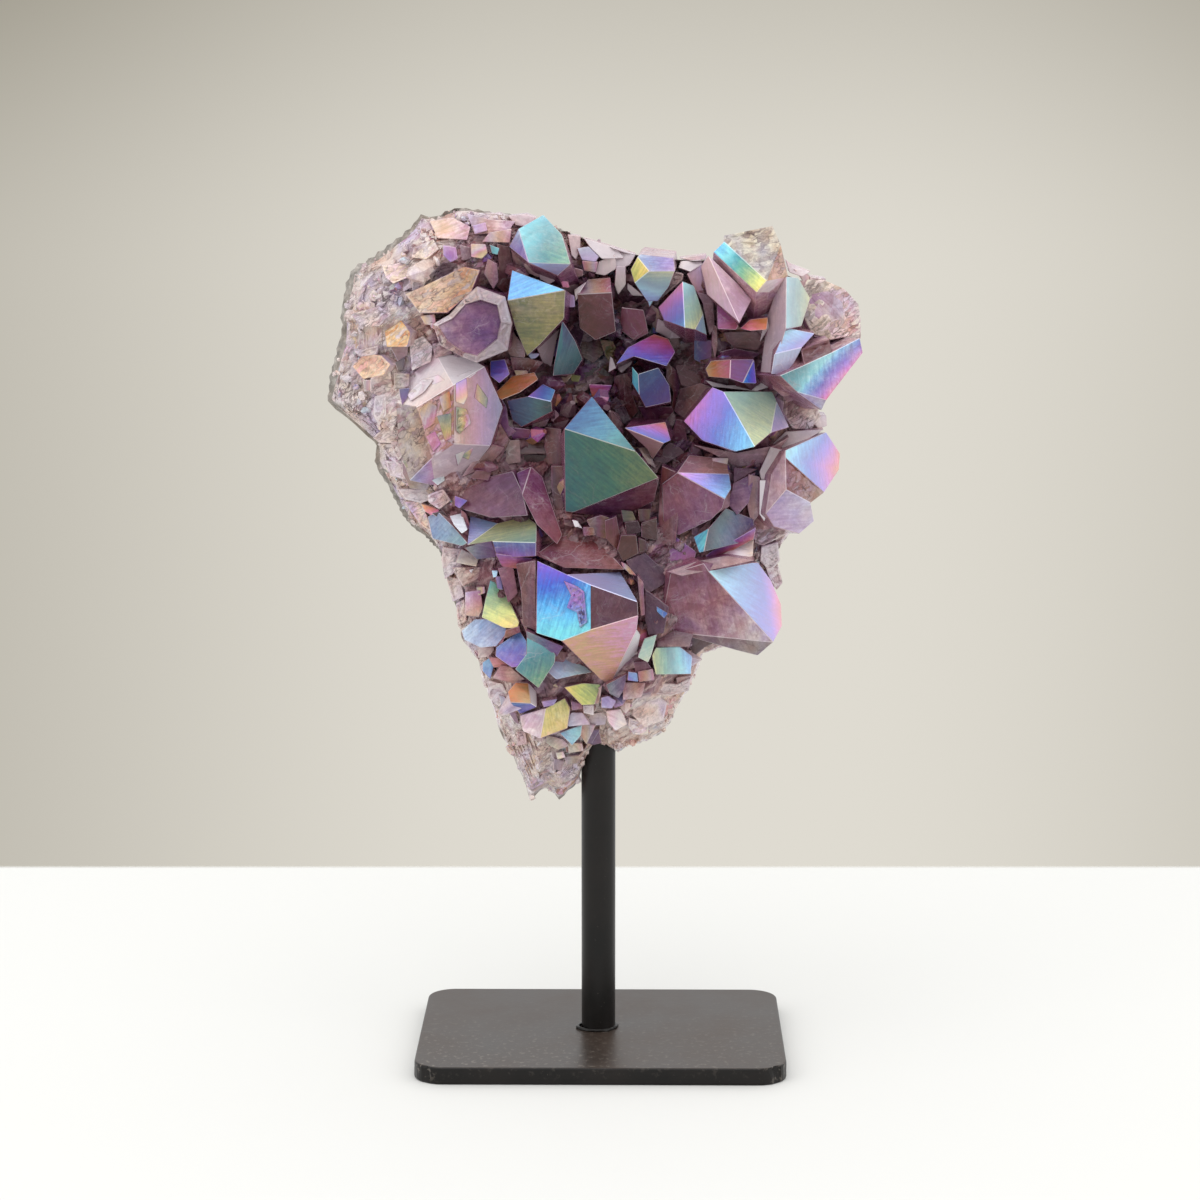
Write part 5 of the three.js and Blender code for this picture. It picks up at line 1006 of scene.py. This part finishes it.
def crystal(name, shape):
    # the faces of the tip between their corners, extruded into the stone and bevelled
    tip = flatten(shape["corners"], shape["faces"])
    planes = [facePlane(tip, face) for face in shape["faces"]]
    obj = fromData(name, [point * mm for point in tip], shape["faces"])
    edit(obj)
    bpy.ops.mesh.extrude_region_move(TRANSFORM_OT_translate={"value": Vector(shape["root"]) * mm})
    bpy.ops.mesh.select_all(action="SELECT")
    bpy.ops.mesh.normals_make_consistent()
    objectMode()
    facets = obj.data.attributes.new("facet", "INT", "FACE")
    for i, polygon in enumerate(obj.data.polygons):
        corners = [obj.data.vertices[v].co for v in polygon.vertices]
        middle = sum(corners, Vector()) / len(corners) / mm
        near = [f for f, (centre, normal) in enumerate(planes)
                if (middle - centre).length < crystalCut["sameFace"]]
        facets.data[i].value = near[0] if near else -1
    edit(obj)
    bpy.ops.mesh.bevel(offset=crystalCut["edge"] * mm, segments=1, affect="EDGES", clamp_overlap=True)
    objectMode()
    for f in shape["rough"]:
        breakFace(obj, f, planes[f][1])
    paintCrystal(obj, shape, planes)
    return obj


def breakFace(obj, facet, normal):
    # a broken face: cut finely, then dented in small steps
    index = obj.data.attributes["facet"].data
    wanted = {polygon.index for polygon in obj.data.polygons
              if index[polygon.index].value == facet and polygon.normal.dot(normal) > brokenCut["facing"]}
    edit(obj, lambda polygon: polygon.index in wanted)
    bpy.ops.mesh.inset(thickness=brokenCut["inset"] * mm)
    bpy.ops.mesh.quads_convert_to_tris()
    bpy.ops.mesh.subdivide(number_cuts=brokenCut["cuts"])
    objectMode()
    edge, inside = set(), set()
    for polygon in obj.data.polygons:
        (inside if polygon.select else edge).update(polygon.vertices)
    for v in inside - edge:
        point = obj.data.vertices[v].co
        point -= normal * steps(point / mm, brokenCut["size"]) * brokenCut["height"] * mm
    obj.data.update()


def placeShard(spec, large):
    # a flat-faced piece of crystal, as a shape that crystal() can make
    text, lift, right, up, film, *kind = spec
    numbers = rows(text)[0]
    places = list(zip(numbers[::2], numbers[1::2]))
    mx, mz = (sum(column) / len(places) for column in zip(*places))
    depth = float(frontDepth(mx, mz, min(1, float(shareAt(mx, mz))))) - lift - shardCut["lift"]
    depths = [depth + right * (x - mx) + up * (z - mz) for x, z in places]
    if "on" in kind:
        for i, (x, z) in enumerate(places):
            hit = large.ray_cast(eye * mm, (Vector(seen(x, z, 0)) - eye).normalized())[0]
            depths[i] = hit.y / mm + stone["forward"] - shardCut["onLift"] * lift if hit else depths[i]
    return {"corners": [(x, z, y) for (x, z), y in zip(places, depths)],
            "faces": [list(range(len(places)))], "film": rows(film),
            "root": shardCut["onRoot"] if "on" in kind else shardCut["root"],
            "rough": [0] if "rough" in kind else [],
            "edgeHighlight": 0 if "on" in kind else crystalCut["edgeHighlight"]}


def filmReach(shape, f):
    # the way in which face f's film changes, and its first and last place along it
    angle = math.radians(shape["film"][f][2])
    way = Vector((math.cos(angle), 0, math.sin(angle)))
    reach = [Vector((x, 0, z)).dot(way) for x, z, y in (shape["corners"][c] for c in shape["faces"][f])]
    return np.array(way), min(reach), max(reach)


def paintCrystal(obj, shape, planes):
    # what the material reads: film, how much of it shows, tone with painted light and shade, edges with a
    # painted highlight, and the map of growth lines
    facet = [item.value for item in obj.data.attributes["facet"].data]
    count = len(obj.data.loops)
    film, share, tone, edge, crush = (np.zeros(count) for i in range(5))
    facetMap = np.zeros((count, 3))
    points = cornerPoints(obj)
    reaches = [filmReach(shape, f) for f in range(len(shape["film"]))]
    root = Vector(shape["root"]).normalized()
    rootWord, rootStep, rootFilms = crystalCut["rootFilm"]
    for polygon in obj.data.polygons:
        f = facet[polygon.index]
        loops = list(polygon.loop_indices)
        normal = polygon.normal
        rough = f in shape["rough"]
        onEdge = f >= 0 and not rough and normal.dot(planes[f][1]) < crystalCut["flatEnough"]
        if f < 0:
            size = max((points[a] - points[b]).dot(points[a] - points[b]) for a in loops for b in loops)
            onEdge = polygon.area / mm ** 2 < crystalCut["narrow"] * math.sqrt(size) and size > 1
        # the bevels get pale lines, a painted highlight
        edge[loops] = onEdge * (crystalCut["rootEdgeHighlight"] if f < 0 else 1) * shape["edgeHighlight"]
        along = root - normal * root.dot(normal)
        along = along.normalized() if along.length > .01 else Vector((1, 0, 0))
        across = normal.cross(along)
        offset = drawFor(polygon, crystalCut["striaOffsets"])
        for loop in loops:
            p = Vector(points[loop])
            facetMap[loop] = (p.dot(along), p.dot(across), offset)
        if f < 0:
            film[loops] = filmAt[rootWord] + rootStep * drawFor(polygon, rootFilms)
            share[loops], tone[loops] = crystalCut["rootShare"], crystalCut["rootTone"]
            continue
        start, end, angle, strength, light, curve = (*shape["film"][f], 1)[:6]
        way, low, high = reaches[f]
        t = np.clip((points[loops] @ way - low) / max(high - low, .1), 0, 1) ** curve
        step = filmAt[end] - filmAt[start]
        if abs(step) > .6:  # past the last colour is the first one again
            step -= math.copysign(1, step)
        film[loops] = filmAt[start] + step * t
        # the listed paler or darker value, partly painted light and shade for the way the face meets the
        # light
        share[loops], tone[loops], crush[loops] = strength, light, rough
    shade = shadeAt(*points.T)
    cornerValues(obj, film=film, share=share, tone=tone, edge=edge, shade=shade, crush=crush)
    layer = obj.data.attributes.new("facetMap", "FLOAT_VECTOR", "CORNER")
    layer.data.foreach_set("vector", facetMap.astype(np.float32).ravel())


def crystalPoint(name, lean, taper, length):
    # a six-sided prism with an uneven point, one unit in radius, standing on z = 0
    bpy.ops.mesh.primitive_cylinder_add(vertices=6, radius=1, depth=length, location=(0, 0, length / 2))
    obj = bpy.context.object
    bpy.ops.object.transform_apply(location=True)
    edit(obj, lambda polygon: polygon.normal.z > .9)
    bpy.ops.mesh.extrude_region_move(
        TRANSFORM_OT_translate={"value": (lean[0], lean[1], druse["pointHeight"])})
    bpy.ops.transform.resize(value=(taper, taper, 1))
    objectMode()
    obj.name = name
    return obj


def brokenBit(name, seed):
    # a broken lump of quartz with flat sides, about one unit in radius
    bpy.ops.mesh.primitive_ico_sphere_add(subdivisions=1, radius=1)
    obj = bpy.context.object
    draw = random.Random(seed)
    edit(obj)
    for side in range(bits["sides"]):
        way = Vector([draw.uniform(-1, 1) for i in range(3)]).normalized()
        bpy.ops.mesh.select_all(action="SELECT")
        bpy.ops.mesh.bisect(plane_co=way * draw.uniform(*bits["cutAt"]), plane_no=way, use_fill=True,
                            clear_outer=True)
    objectMode()
    obj.name = name
    return obj


facetSteps = {"film": .05, "share": .12}  # steps in which the faces of one small piece differ


def scatter(name, masters, spots, crush):
    # one mesh of many copies: each spot is a master, a matrix and its film, share, tone and shade
    shapes = []
    for master in masters:
        sides = sorted(master.data.polygons, key=lambda side: [round(c, 3) for c in side.center])
        shapes.append(([v.co.copy() for v in master.data.vertices],
                       [tuple(side.vertices) for side in sides]))
    vertices, faces, values = [], [], []
    for pick, matrix, film, share, tone, shade in spots:
        points, sides = shapes[pick]
        start = len(vertices)
        vertices.extend(matrix @ point for point in points)
        for i, side in enumerate(sides):
            faces.append([start + v for v in side])
            look = (film + facetSteps["film"] * (i * 5 % 7 - 3),
                    share * (1 - facetSteps["share"] * (i * 3 % 5)), tone, shade)
            values.extend([look] * len(side))
    obj = fromData(name, vertices, faces)
    film, share, tone, shade = np.array(values).T
    cornerValues(obj, film=film, share=share, tone=tone, shade=np.clip(shade, 0, 1),
                 edge=np.zeros(len(film)), crush=np.full(len(film), crush))
    for master in masters:
        bpy.data.objects.remove(master)
    return obj


lining = {"lift": 3.2, "reach": .99, "rind": .018, "rindSide": (-1.6, -.6), "rindUp": (4, 2),
          "turn": 35, "frontTurn": .85, "thickness": 1, "relief": 1.5, "cell": (6, 2.8),
          "fineRelief": .7, "fineCell": (2.2, 1.1), "fineSeed": 40, "draw": 5.1, "filmDraw": 40,
          "filmShare": (.35, .45), "toneSpread": .25,
          "films": ["pink", "gold", "peach", "silver", "gold", "sky", "rose", "violet"]}
# Where the crust is white broken quartz: limit and softness by share, height and place.
whiteQuartz = {"rim": (.84, .1), "bottom": (106, 10), "left": (-46, 6), "leftAbove": 150,
               "top": (217, 6), "topLeftOf": -20}


def ledge(x, z):
    # the place along and across the broken ledges
    turn = math.radians(lining["turn"])
    return x * math.cos(turn) + z * math.sin(turn), z * math.cos(turn) - x * math.sin(turn)


def relief(x, z):
    # how deep the broken crust lies below its highest ledges
    u, v = ledge(x, z)
    return (steps((u, v, 0), (*lining["cell"], 1)) * lining["relief"]
            + steps((u, v, lining["fineSeed"]), (*lining["fineCell"], 1)) * lining["fineRelief"])


def crustReach(angle):
    # the crust ends short of the outline on the left, where the grey rind shows
    (side, sideStart), (up, upStart) = lining["rindSide"], lining["rindUp"]
    left = np.clip(side * np.cos(angle) + sideStart, 0, 1) * np.clip(up * np.sin(angle) + upStart, 0, 1)
    return lining["reach"] - lining["rind"] * left


def crustAt(x, z):
    # where the crust's face lies at a listed place, and which way it faces
    def at(u, v):
        return Vector(seen(u, v, float(frontDepth(u, v, min(1, float(shareAt(u, v)))) - lining["lift"])))
    point = at(x, z)
    normal = (at(x, z + .5) - point).cross(at(x + .5, z) - point).normalized()
    normal = -normal if normal.y > 0 else normal
    return point + Vector((0, relief(x, z), 0)), normal


def quartzness(x, z):
    # 1 where the crust is broken white quartz, and 0 where it is crystals
    white = whiteQuartz
    rim = (float(shareAt(x, z)) - white["rim"][0]) / white["rim"][1]
    bottom = (white["bottom"][0] - z) / white["bottom"][1]
    left = (white["left"][0] - x) / white["left"][1] if z > white["leftAbove"] else 0
    top = (z - white["top"][0]) / white["top"][1] if x < white["topLeftOf"] else 0
    return min(1, max(0, rim, bottom, left, top))


# Pairs are the least and the most that a draw gives. Small crystals have lean, taper and length.
druse = {"seed": 11, "count": 2600, "x": (-76, 70), "z": (72, 235), "within": .95,
         "size": (1.3, 4.2), "shrink": (.6, 1), "stretch": (.8, 1.5), "thin": .85, "spread": .45,
         "sink": .5, "pointHeight": 1.1, "shoulderRoom": 1.2, "tipRoom": .5, "facing": -.1,
         "tones": (-.2, .1), "shades": (-.05, .08), "filmShare": .22, "film": .7, "leastFilm": .08,
         "shapes": [((.1, .05), .05, 1.2), ((-.3, .2), .1, 1.6), ((.35, -.1), .2, .9),
                    ((0, .3), .02, .7), ((-.15, -.35), .3, 1.3)],
         "films": ["violet", "magenta", "gold", "rose", "azure", "magenta", "amber", "rose"]}
bits = {"seed": 5, "count": 44000, "x": (-77, 70), "z": (71, 235), "past": .01, "shapes": 6,
        "sides": 7, "cutAt": (.35, .75), "least": .04, "spread": .25, "size": (.22, 1.9), "few": 3,
        "long": 1.3, "flat": (.4, .9), "sink": .35, "tones": (0, .4), "shades": (-.12, .12),
        "filmShare": .2, "film": .6, "leastFilm": .05,
        "films": ["pink", "violet", "peach", "gold", "gold", "sky", "rose"]}
fullTurn = 6.3


def hidesFrom(surfaces, point, size):
    # true where a small crystal would stand in front of a larger one or stick out of its face
    aim = point - eye
    for surface in surfaces:
        hit = surface.ray_cast(eye * mm, aim.normalized())[0]
        if hit and (hit / mm - eye).length > aim.length - size:
            return True
    return False


def outsideBox(point, size):
    low, high = cadBox
    return any(p - size < a / mm or p + size > b / mm for p, a, b in zip(point, low, high))


def filmOn(look, shine):
    # most small pieces have next to no film, and some have a lot
    return look["film"] * shine if shine > 1 - look["filmShare"] else look["leastFilm"]


def smallCrystals(surfaces):
    draw = random.Random(druse["seed"])
    masters = [crystalPoint("point%d" % i, *shape) for i, shape in enumerate(druse["shapes"])]
    spots = []
    for turn in range(druse["count"]):
        x, z = draw.uniform(*druse["x"]), draw.uniform(*druse["z"])
        chance, size = draw.random(), draw.uniform(*druse["size"]) * draw.uniform(*druse["shrink"])
        sway = [draw.gauss(0, druse["spread"]) for i in range(3)]
        twist, film, shine = draw.uniform(0, fullTurn), draw.choice(druse["films"]), draw.random()
        tone, stretch = draw.uniform(*druse["tones"]), draw.uniform(*druse["stretch"])
        if float(shareAt(x, z)) > druse["within"] or chance < quartzness(x, z):
            continue
        pick = turn % len(masters)
        point, normal = crustAt(x, z)
        way = (normal + Vector(sway)).normalized()
        shoulder = point + way * size * (stretch * druse["shapes"][pick][2] - druse["sink"])
        tip = shoulder + way * size * stretch * druse["pointHeight"]
        if (way.y > druse["facing"] or hidesFrom(surfaces, shoulder, size * druse["shoulderRoom"])
                or hidesFrom(surfaces, tip, size * druse["tipRoom"]) or outsideBox(tip, 0)):
            continue
        turnTo = Vector((0, 0, 1)).rotation_difference(way).to_matrix().to_4x4()
        scale = Vector((size, size * druse["thin"], size * stretch)) * mm
        place = (Matrix.Translation((point - way * size * druse["sink"]) * mm) @ turnTo
                 @ Matrix.Rotation(twist, 4, "Z") @ Matrix.Diagonal((*scale, 1)))
        shade = float(shadeAt(*(point + way * size))) + draw.uniform(*druse["shades"])
        spots.append((pick, place, filmAt[film], filmOn(druse, shine), tone, shade))
    return scatter("crystals_small", masters, spots, 0)


def quartzBits(surfaces):
    draw = random.Random(bits["seed"])
    masters = [brokenBit("bit%d" % i, i + 3) for i in range(bits["shapes"])]
    least, most = bits["size"]
    spots = []
    for turn in range(bits["count"]):
        x, z = draw.uniform(*bits["x"]), draw.uniform(*bits["z"])
        chance, size = draw.random(), least + (most - least) * draw.random() ** bits["few"]
        spin = [draw.uniform(0, fullTurn) for i in range(3)]
        film, shine, tone = draw.choice(bits["films"]), draw.random(), draw.uniform(*bits["tones"])
        flat = draw.uniform(*bits["flat"])
        reach = crustReach(math.atan2(z - hubZ, x - hubX)) + bits["past"]
        if float(shareAt(x, z)) > reach or chance > bits["least"] + bits["spread"] * quartzness(x, z):
            continue
        point, normal = crustAt(x, z)
        if hidesFrom(surfaces, point, size) or outsideBox(point, size):
            continue
        turnTo = (Matrix.Rotation(spin[0], 4, "X") @ Matrix.Rotation(spin[1], 4, "Y")
                  @ Matrix.Rotation(spin[2], 4, "Z"))
        scale = Vector((size * bits["long"], size, size * flat)) * mm
        place = (Matrix.Translation((point - normal * size * bits["sink"]) * mm) @ turnTo
                 @ Matrix.Diagonal((*scale, 1)))
        shade = float(shadeAt(*point)) + draw.uniform(*bits["shades"])
        spots.append((turn % len(masters), place, filmAt[film], filmOn(bits, shine), tone, shade))
    return scatter("quartz_bits", masters, spots, .5)


# The table, the wall behind it and the light: lamps are (name, place and size in metres, watts), the
# wall's and the room's numbers are parts of a view direction and strengths, and focus is in pixels.
studio = {"paper": "dededb", "tableSize": 12, "tableEnd": 204, "softEdge": 2,
          "paperReach": (1500, 4000), "fibre": 1.5, "fibreBump": (.05, .05), "paperRoughness": .8,
          "wallMiddle": "dfdbd1", "wallEdge": "a19c8f", "wallSide": (.02, .04, .3, .65),
          "wallTop": (-.06, .1, .7), "roomFront": .8, "roomBack": .85, "roomTop": .55,
          "roomFrom": (-.8, .6), "aim": (0, 0, .15),
          "lamps": [("softbox_top", (-.1, -.5, 1.3), 1.0, 3.2),
                    ("softbox_left", (-1.2, -.8, .7), .9, 2.4),
                    ("softbox_right", (1.3, -.8, .5), .9, 2.2)],
          "camera": (8.62, -843.9, 262.7), "down": 9.144, "turn": .61, "focus": 3096, "picture": 1200,
          "sensor": 36}


def tablePaper():
    # white paper that ends behind the object and fades out far in front of it
    material, tree, shader, place = newMaterial("white_paper")
    away = math.radians(studio["turn"])
    depth = addNode(tree, "VectorMath", {0: place, 1: (-math.sin(away), math.cos(away), 0)}, out="Value",
                    operation="DOT_PRODUCT")
    end, soft = studio["tableEnd"], studio["softEdge"]
    behind = addNode(tree, "MapRange", {"Value": depth, "From Min": (end - soft) * mm,
                                        "From Max": (end + soft) * mm})
    distance = addNode(tree, "VectorMath", {0: place}, out="Value", operation="LENGTH")
    near, far = studio["paperReach"]
    faded = addNode(tree, "MapRange", {"Value": distance, "From Min": near * mm, "From Max": far * mm},
                    interpolation_type="SMOOTHSTEP")
    gone = addNode(tree, "Math", {0: behind, 1: faded}, operation="MAXIMUM")
    fibre = addNode(tree, "TexNoise", {"Vector": place, "Scale": perMillimetre(studio["fibre"]),
                                       "Detail": 3})
    strength, thick = studio["fibreBump"]
    normal = addNode(tree, "Bump", {"Strength": strength, "Distance": thick * mm, "Height": fibre})
    wire(tree, shader, Base_Color=linear(studio["paper"]), Roughness=studio["paperRoughness"],
         Normal=normal)
    clear = addNode(tree, "BsdfTransparent")
    blend = addNode(tree, "MixShader", {0: gone, 1: shader.outputs[0], 2: clear})
    tree.links.new(blend, tree.nodes["Material Output"].inputs["Surface"])
    return material


def studioWorld():
    # a pale wall for the eye, and for the light a room that is dim in front and bright above and behind
    world = bpy.data.worlds.new("studio")
    bpy.context.scene.world = world
    world.use_nodes = True
    tree = world.node_tree
    way = addNode(tree, "TexCoord", out="Generated")
    x, y, z = (addNode(tree, "SeparateXYZ", {0: way}, out=axis) for axis in "XYZ")
    centre, start, end, most = studio["wallSide"]
    side = addNode(tree, "Math", {0: x, 1: centre}, operation="SUBTRACT")
    side = addNode(tree, "Math", {0: side}, operation="ABSOLUTE")
    side = addNode(tree, "MapRange", {"Value": side, "From Min": start, "From Max": end, "To Max": most},
                   interpolation_type="SMOOTHSTEP")
    low, high, most = studio["wallTop"]
    above = addNode(tree, "MapRange", {"Value": z, "From Min": low, "From Max": high, "To Max": most},
                    interpolation_type="SMOOTHSTEP")
    darker = addNode(tree, "Math", {0: side, 1: above}, operation="ADD", use_clamp=True)
    wall = addNode(tree, "Mix", {0: darker, 6: linear(studio["wallMiddle"]),
                                 7: linear(studio["wallEdge"])}, data_type="RGBA")
    front, back = studio["roomFrom"]
    room = addNode(tree, "MapRange", {"Value": y, "From Min": front, "From Max": back,
                                      "To Min": studio["roomFront"], "To Max": studio["roomBack"]})
    sky = addNode(tree, "Math", {0: z, 1: 0}, operation="MAXIMUM")
    room = addNode(tree, "Math", {0: sky, 1: studio["roomTop"], 2: room}, operation="MULTIPLY_ADD")
    seenByEye = addNode(tree, "LightPath", out="Is Camera Ray")
    glow = addNode(tree, "Mix", {0: seenByEye, 6: room, 7: wall}, data_type="RGBA")
    tree.links.new(glow, tree.nodes["Background"].inputs["Color"])


def stage():
    bpy.ops.mesh.primitive_plane_add(size=studio["tableSize"])
    floor = bpy.context.object
    floor.name = "floor"
    floor.data.materials.append(tablePaper())
    studioWorld()
    for name, at, size, power in studio["lamps"]:
        light = bpy.data.lights.new(name, "AREA")
        light.size = size
        light.energy = power
        lamp = bpy.data.objects.new(name, light)
        lamp.location = at
        lamp.rotation_euler = (Vector(studio["aim"]) - Vector(at)).to_track_quat("-Z", "Y").to_euler()
        bpy.context.scene.collection.objects.link(lamp)
    lens = bpy.data.cameras.new("camera")
    lens.sensor_width = studio["sensor"]
    lens.lens = studio["focus"] / studio["picture"] * lens.sensor_width
    camera = bpy.data.objects.new("camera", lens)
    camera.location = Vector(studio["camera"]) * mm
    camera.rotation_euler = (math.radians(90 - studio["down"]), 0, math.radians(studio["turn"]))
    bpy.context.scene.collection.objects.link(camera)
    bpy.context.scene.camera = camera
    bpy.context.scene.view_settings.view_transform = "Standard"


def level(a, b):
    return abs(a.z - b.z) < .01


def basePlate():
    width, depth, height = plate["size"]
    bpy.ops.mesh.primitive_cube_add(size=1, location=(0, 0, height / 2 * mm),
                                    scale=(width * mm, depth * mm, height * mm))
    obj = bpy.context.object
    bpy.ops.object.transform_apply(location=True, scale=True)
    pickEdges(obj, lambda a, b: not level(a, b))
    bpy.ops.mesh.bevel(offset=plate["corner"] * mm, segments=plate["cornerParts"], affect="EDGES")
    objectMode()
    pickEdges(obj, level)
    bpy.ops.mesh.bevel(offset=plate["edge"] * mm, segments=plate["edgeParts"], affect="EDGES")
    objectMode()
    inset = plate["chipInset"]
    corners = [Vector((side * (width / 2 - inset), inset - depth / 2, height)) * mm for side in (-1, 1)]
    chips = []
    for v in obj.data.vertices:  # chipped front corners
        near = max(0, *(1 - (v.co - corner).length / (plate["chipReach"] * mm) for corner in corners))
        dent = max(0, noise.noise(v.co / (plate["chipSize"] * mm))) * plate["chip"] * near
        v.co += (Vector((0, 0, height / 2 * mm)) - v.co).normalized() * dent * mm
        chips.append(near)
    marks = [(polygon.normal.z > .9, chips[v])  # lighter on top: dust, and a painted sheen of the light from above
             for polygon in obj.data.polygons for v in polygon.vertices]
    dust, chip = np.array(marks, float).T
    cornerValues(obj, dust=dust, chip=chip)
    return obj


def standRod():
    length, radius = rod["top"] - rod["bottom"], rod["diameter"] / 2 * mm
    middle = rod["bottom"] + length / 2
    bpy.ops.mesh.primitive_cylinder_add(vertices=rod["sides"], radius=radius, depth=length * mm,
                                        location=(rod["x"] * mm, 0, middle * mm))
    bar = bpy.context.object
    bpy.ops.object.transform_apply(location=True)
    pickEdges(bar, lambda a, b: level(a, b) and a.z > middle)
    bpy.ops.mesh.bevel(offset=rod["edge"] * mm, segments=rod["edgeParts"], affect="EDGES")
    objectMode()
    around, across = rod["weldParts"]
    bpy.ops.mesh.primitive_torus_add(major_radius=radius, minor_radius=rod["weldRadius"] * mm,
                                     major_segments=around, minor_segments=across,
                                     location=(rod["x"] * mm, 0, rod["bottom"] * mm))
    weld = bpy.context.object
    bpy.ops.object.transform_apply(location=True)
    for v in weld.data.vertices:  # the bead is uneven, with a drop on the left, above the plate
        way = Vector((v.co.x - rod["x"] * mm, v.co.y, 0)).normalized()
        drop = max(0, way.dot(Vector(rod["dropWay"]))) ** rod["dropNarrow"] * rod["weldDrop"]
        v.co += way * (noise.noise(v.co / (rod["lumpSize"] * mm)) * rod["weldLump"] + drop) * mm
        v.co.z = max(v.co.z, (plate["size"][2] + rod["weldGap"]) * mm)
    return joined([bar, weld], "rod")


# The wall's broken crags, and its rind: on the outline at the left, and behind a ragged line.
wallLook = {"crag": 5, "cragHeight": 2.2, "cragMiddle": .6, "cragDetail": 5, "darker": .15,
            "rindShare": .965, "rindFade": .01, "rindLeftOf": -38,
            "rindBehind": 2, "rag": 2, "ragX": .4, "ragZ": (.5, 1), "ragFade": 1.5}


def wallRock():
    obj = ballStone("wall", lambda angle: 1, frontDepth, backDepth, .5)
    cloud = bpy.data.textures.new("crag", "CLOUDS")
    cloud.noise_scale, cloud.noise_depth = wallLook["crag"] * mm, wallLook["cragDetail"]
    activate(obj)
    bpy.ops.object.modifier_add(type="DISPLACE")
    push = obj.modifiers[-1]
    push.texture, push.strength = cloud, wallLook["cragHeight"] * mm
    push.mid_level = wallLook["cragMiddle"]
    bpy.ops.object.modifier_apply(modifier=push.name)

    x, y, z = cornerPoints(obj).T
    outside = np.clip((shareAt(x, z) - wallLook["rindShare"]) / wallLook["rindFade"], 0, 1)
    outside = outside * (x < wallLook["rindLeftOf"])
    scale, start = wallLook["ragZ"]
    rag = wallLook["rag"] * np.sin(scale * z + start) * np.sin(wallLook["ragX"] * x)
    behind = y - np.where(x > 0, 0, wallLook["rindBehind"])
    ragged = np.clip((behind + rag) / wallLook["ragFade"], 0, 1)
    cornerValues(obj, shade=shadeAt(x, y, z) - wallLook["darker"],
                 edge=np.clip(outside + ragged, 0, 1))
    return obj


def quartzBed():
    # the fine broken quartz that the crystals stand on
    obj = ballStone("bed", crustReach,
                    lambda x, z, s: (frontDepth(x, z, s) - lining["lift"]
                                     + np.array([relief(u, v) for u, v in zip(x, z)])),
                    lambda x, z, s: frontDepth(x, z, s) + lining["thickness"], lining["frontTurn"])
    least, more = lining["filmShare"]
    cells = []
    for polygon in obj.data.polygons:  # each broken cell has its own film
        x, y, z = polygon.center / mm
        at = Vector((*(place / size for place, size in zip(ledge(x, z), lining["cell"])), 0))
        draw = noise.noise_vector(noise.voronoi(at)[1][0] * lining["draw"])
        word = lining["films"][int(abs(draw.x) * lining["filmDraw"]) % len(lining["films"])]
        look = (filmAt[word], max(0, draw.y) * (least + more * quartzness(x, z)),
                draw.z * lining["toneSpread"])
        cells.extend([look] * len(polygon.vertices))
    film, share, tone = np.array(cells).T
    points = cornerPoints(obj)
    cornerValues(obj, film=film, share=share, tone=tone, edge=np.zeros(len(points)),
                 shade=shadeAt(*points.T), crush=np.ones(len(points)))
    return obj


coated, granular, steel = coatedAmethyst(), granularQuartz(), paintedSteel()
stage()
print("stage ready")
keep(basePlate(), "stand_plate", steel, "base_plate")
keep(standRod(), "stand_rod", steel, "rod")
keep(wallRock(), "wall_rock", granular, "geode_wall")
keep(quartzBed(), "quartz_bed", coated, "crystal_crust")

large = joined([crystal(name, readCrystal(*lists)) for name, lists in crystals.items()],
               "crystals_large")
keep(large, "crystals_large", coated, "crystal_crust")
surface = BVHTree.FromObject(large, bpy.context.evaluated_depsgraph_get())
medium = joined([crystal("shard%d" % i, placeShard(spec, surface)) for i, spec in enumerate(shards)],
                "crystals_medium")
keep(medium, "crystals_medium", coated, "crystal_crust")
surfaces = [surface, BVHTree.FromObject(medium, bpy.context.evaluated_depsgraph_get())]
keep(smallCrystals(surfaces), "crystals_small", coated, "crystal_crust")
keep(quartzBits(surfaces), "quartz_bits", coated, "crystal_crust")
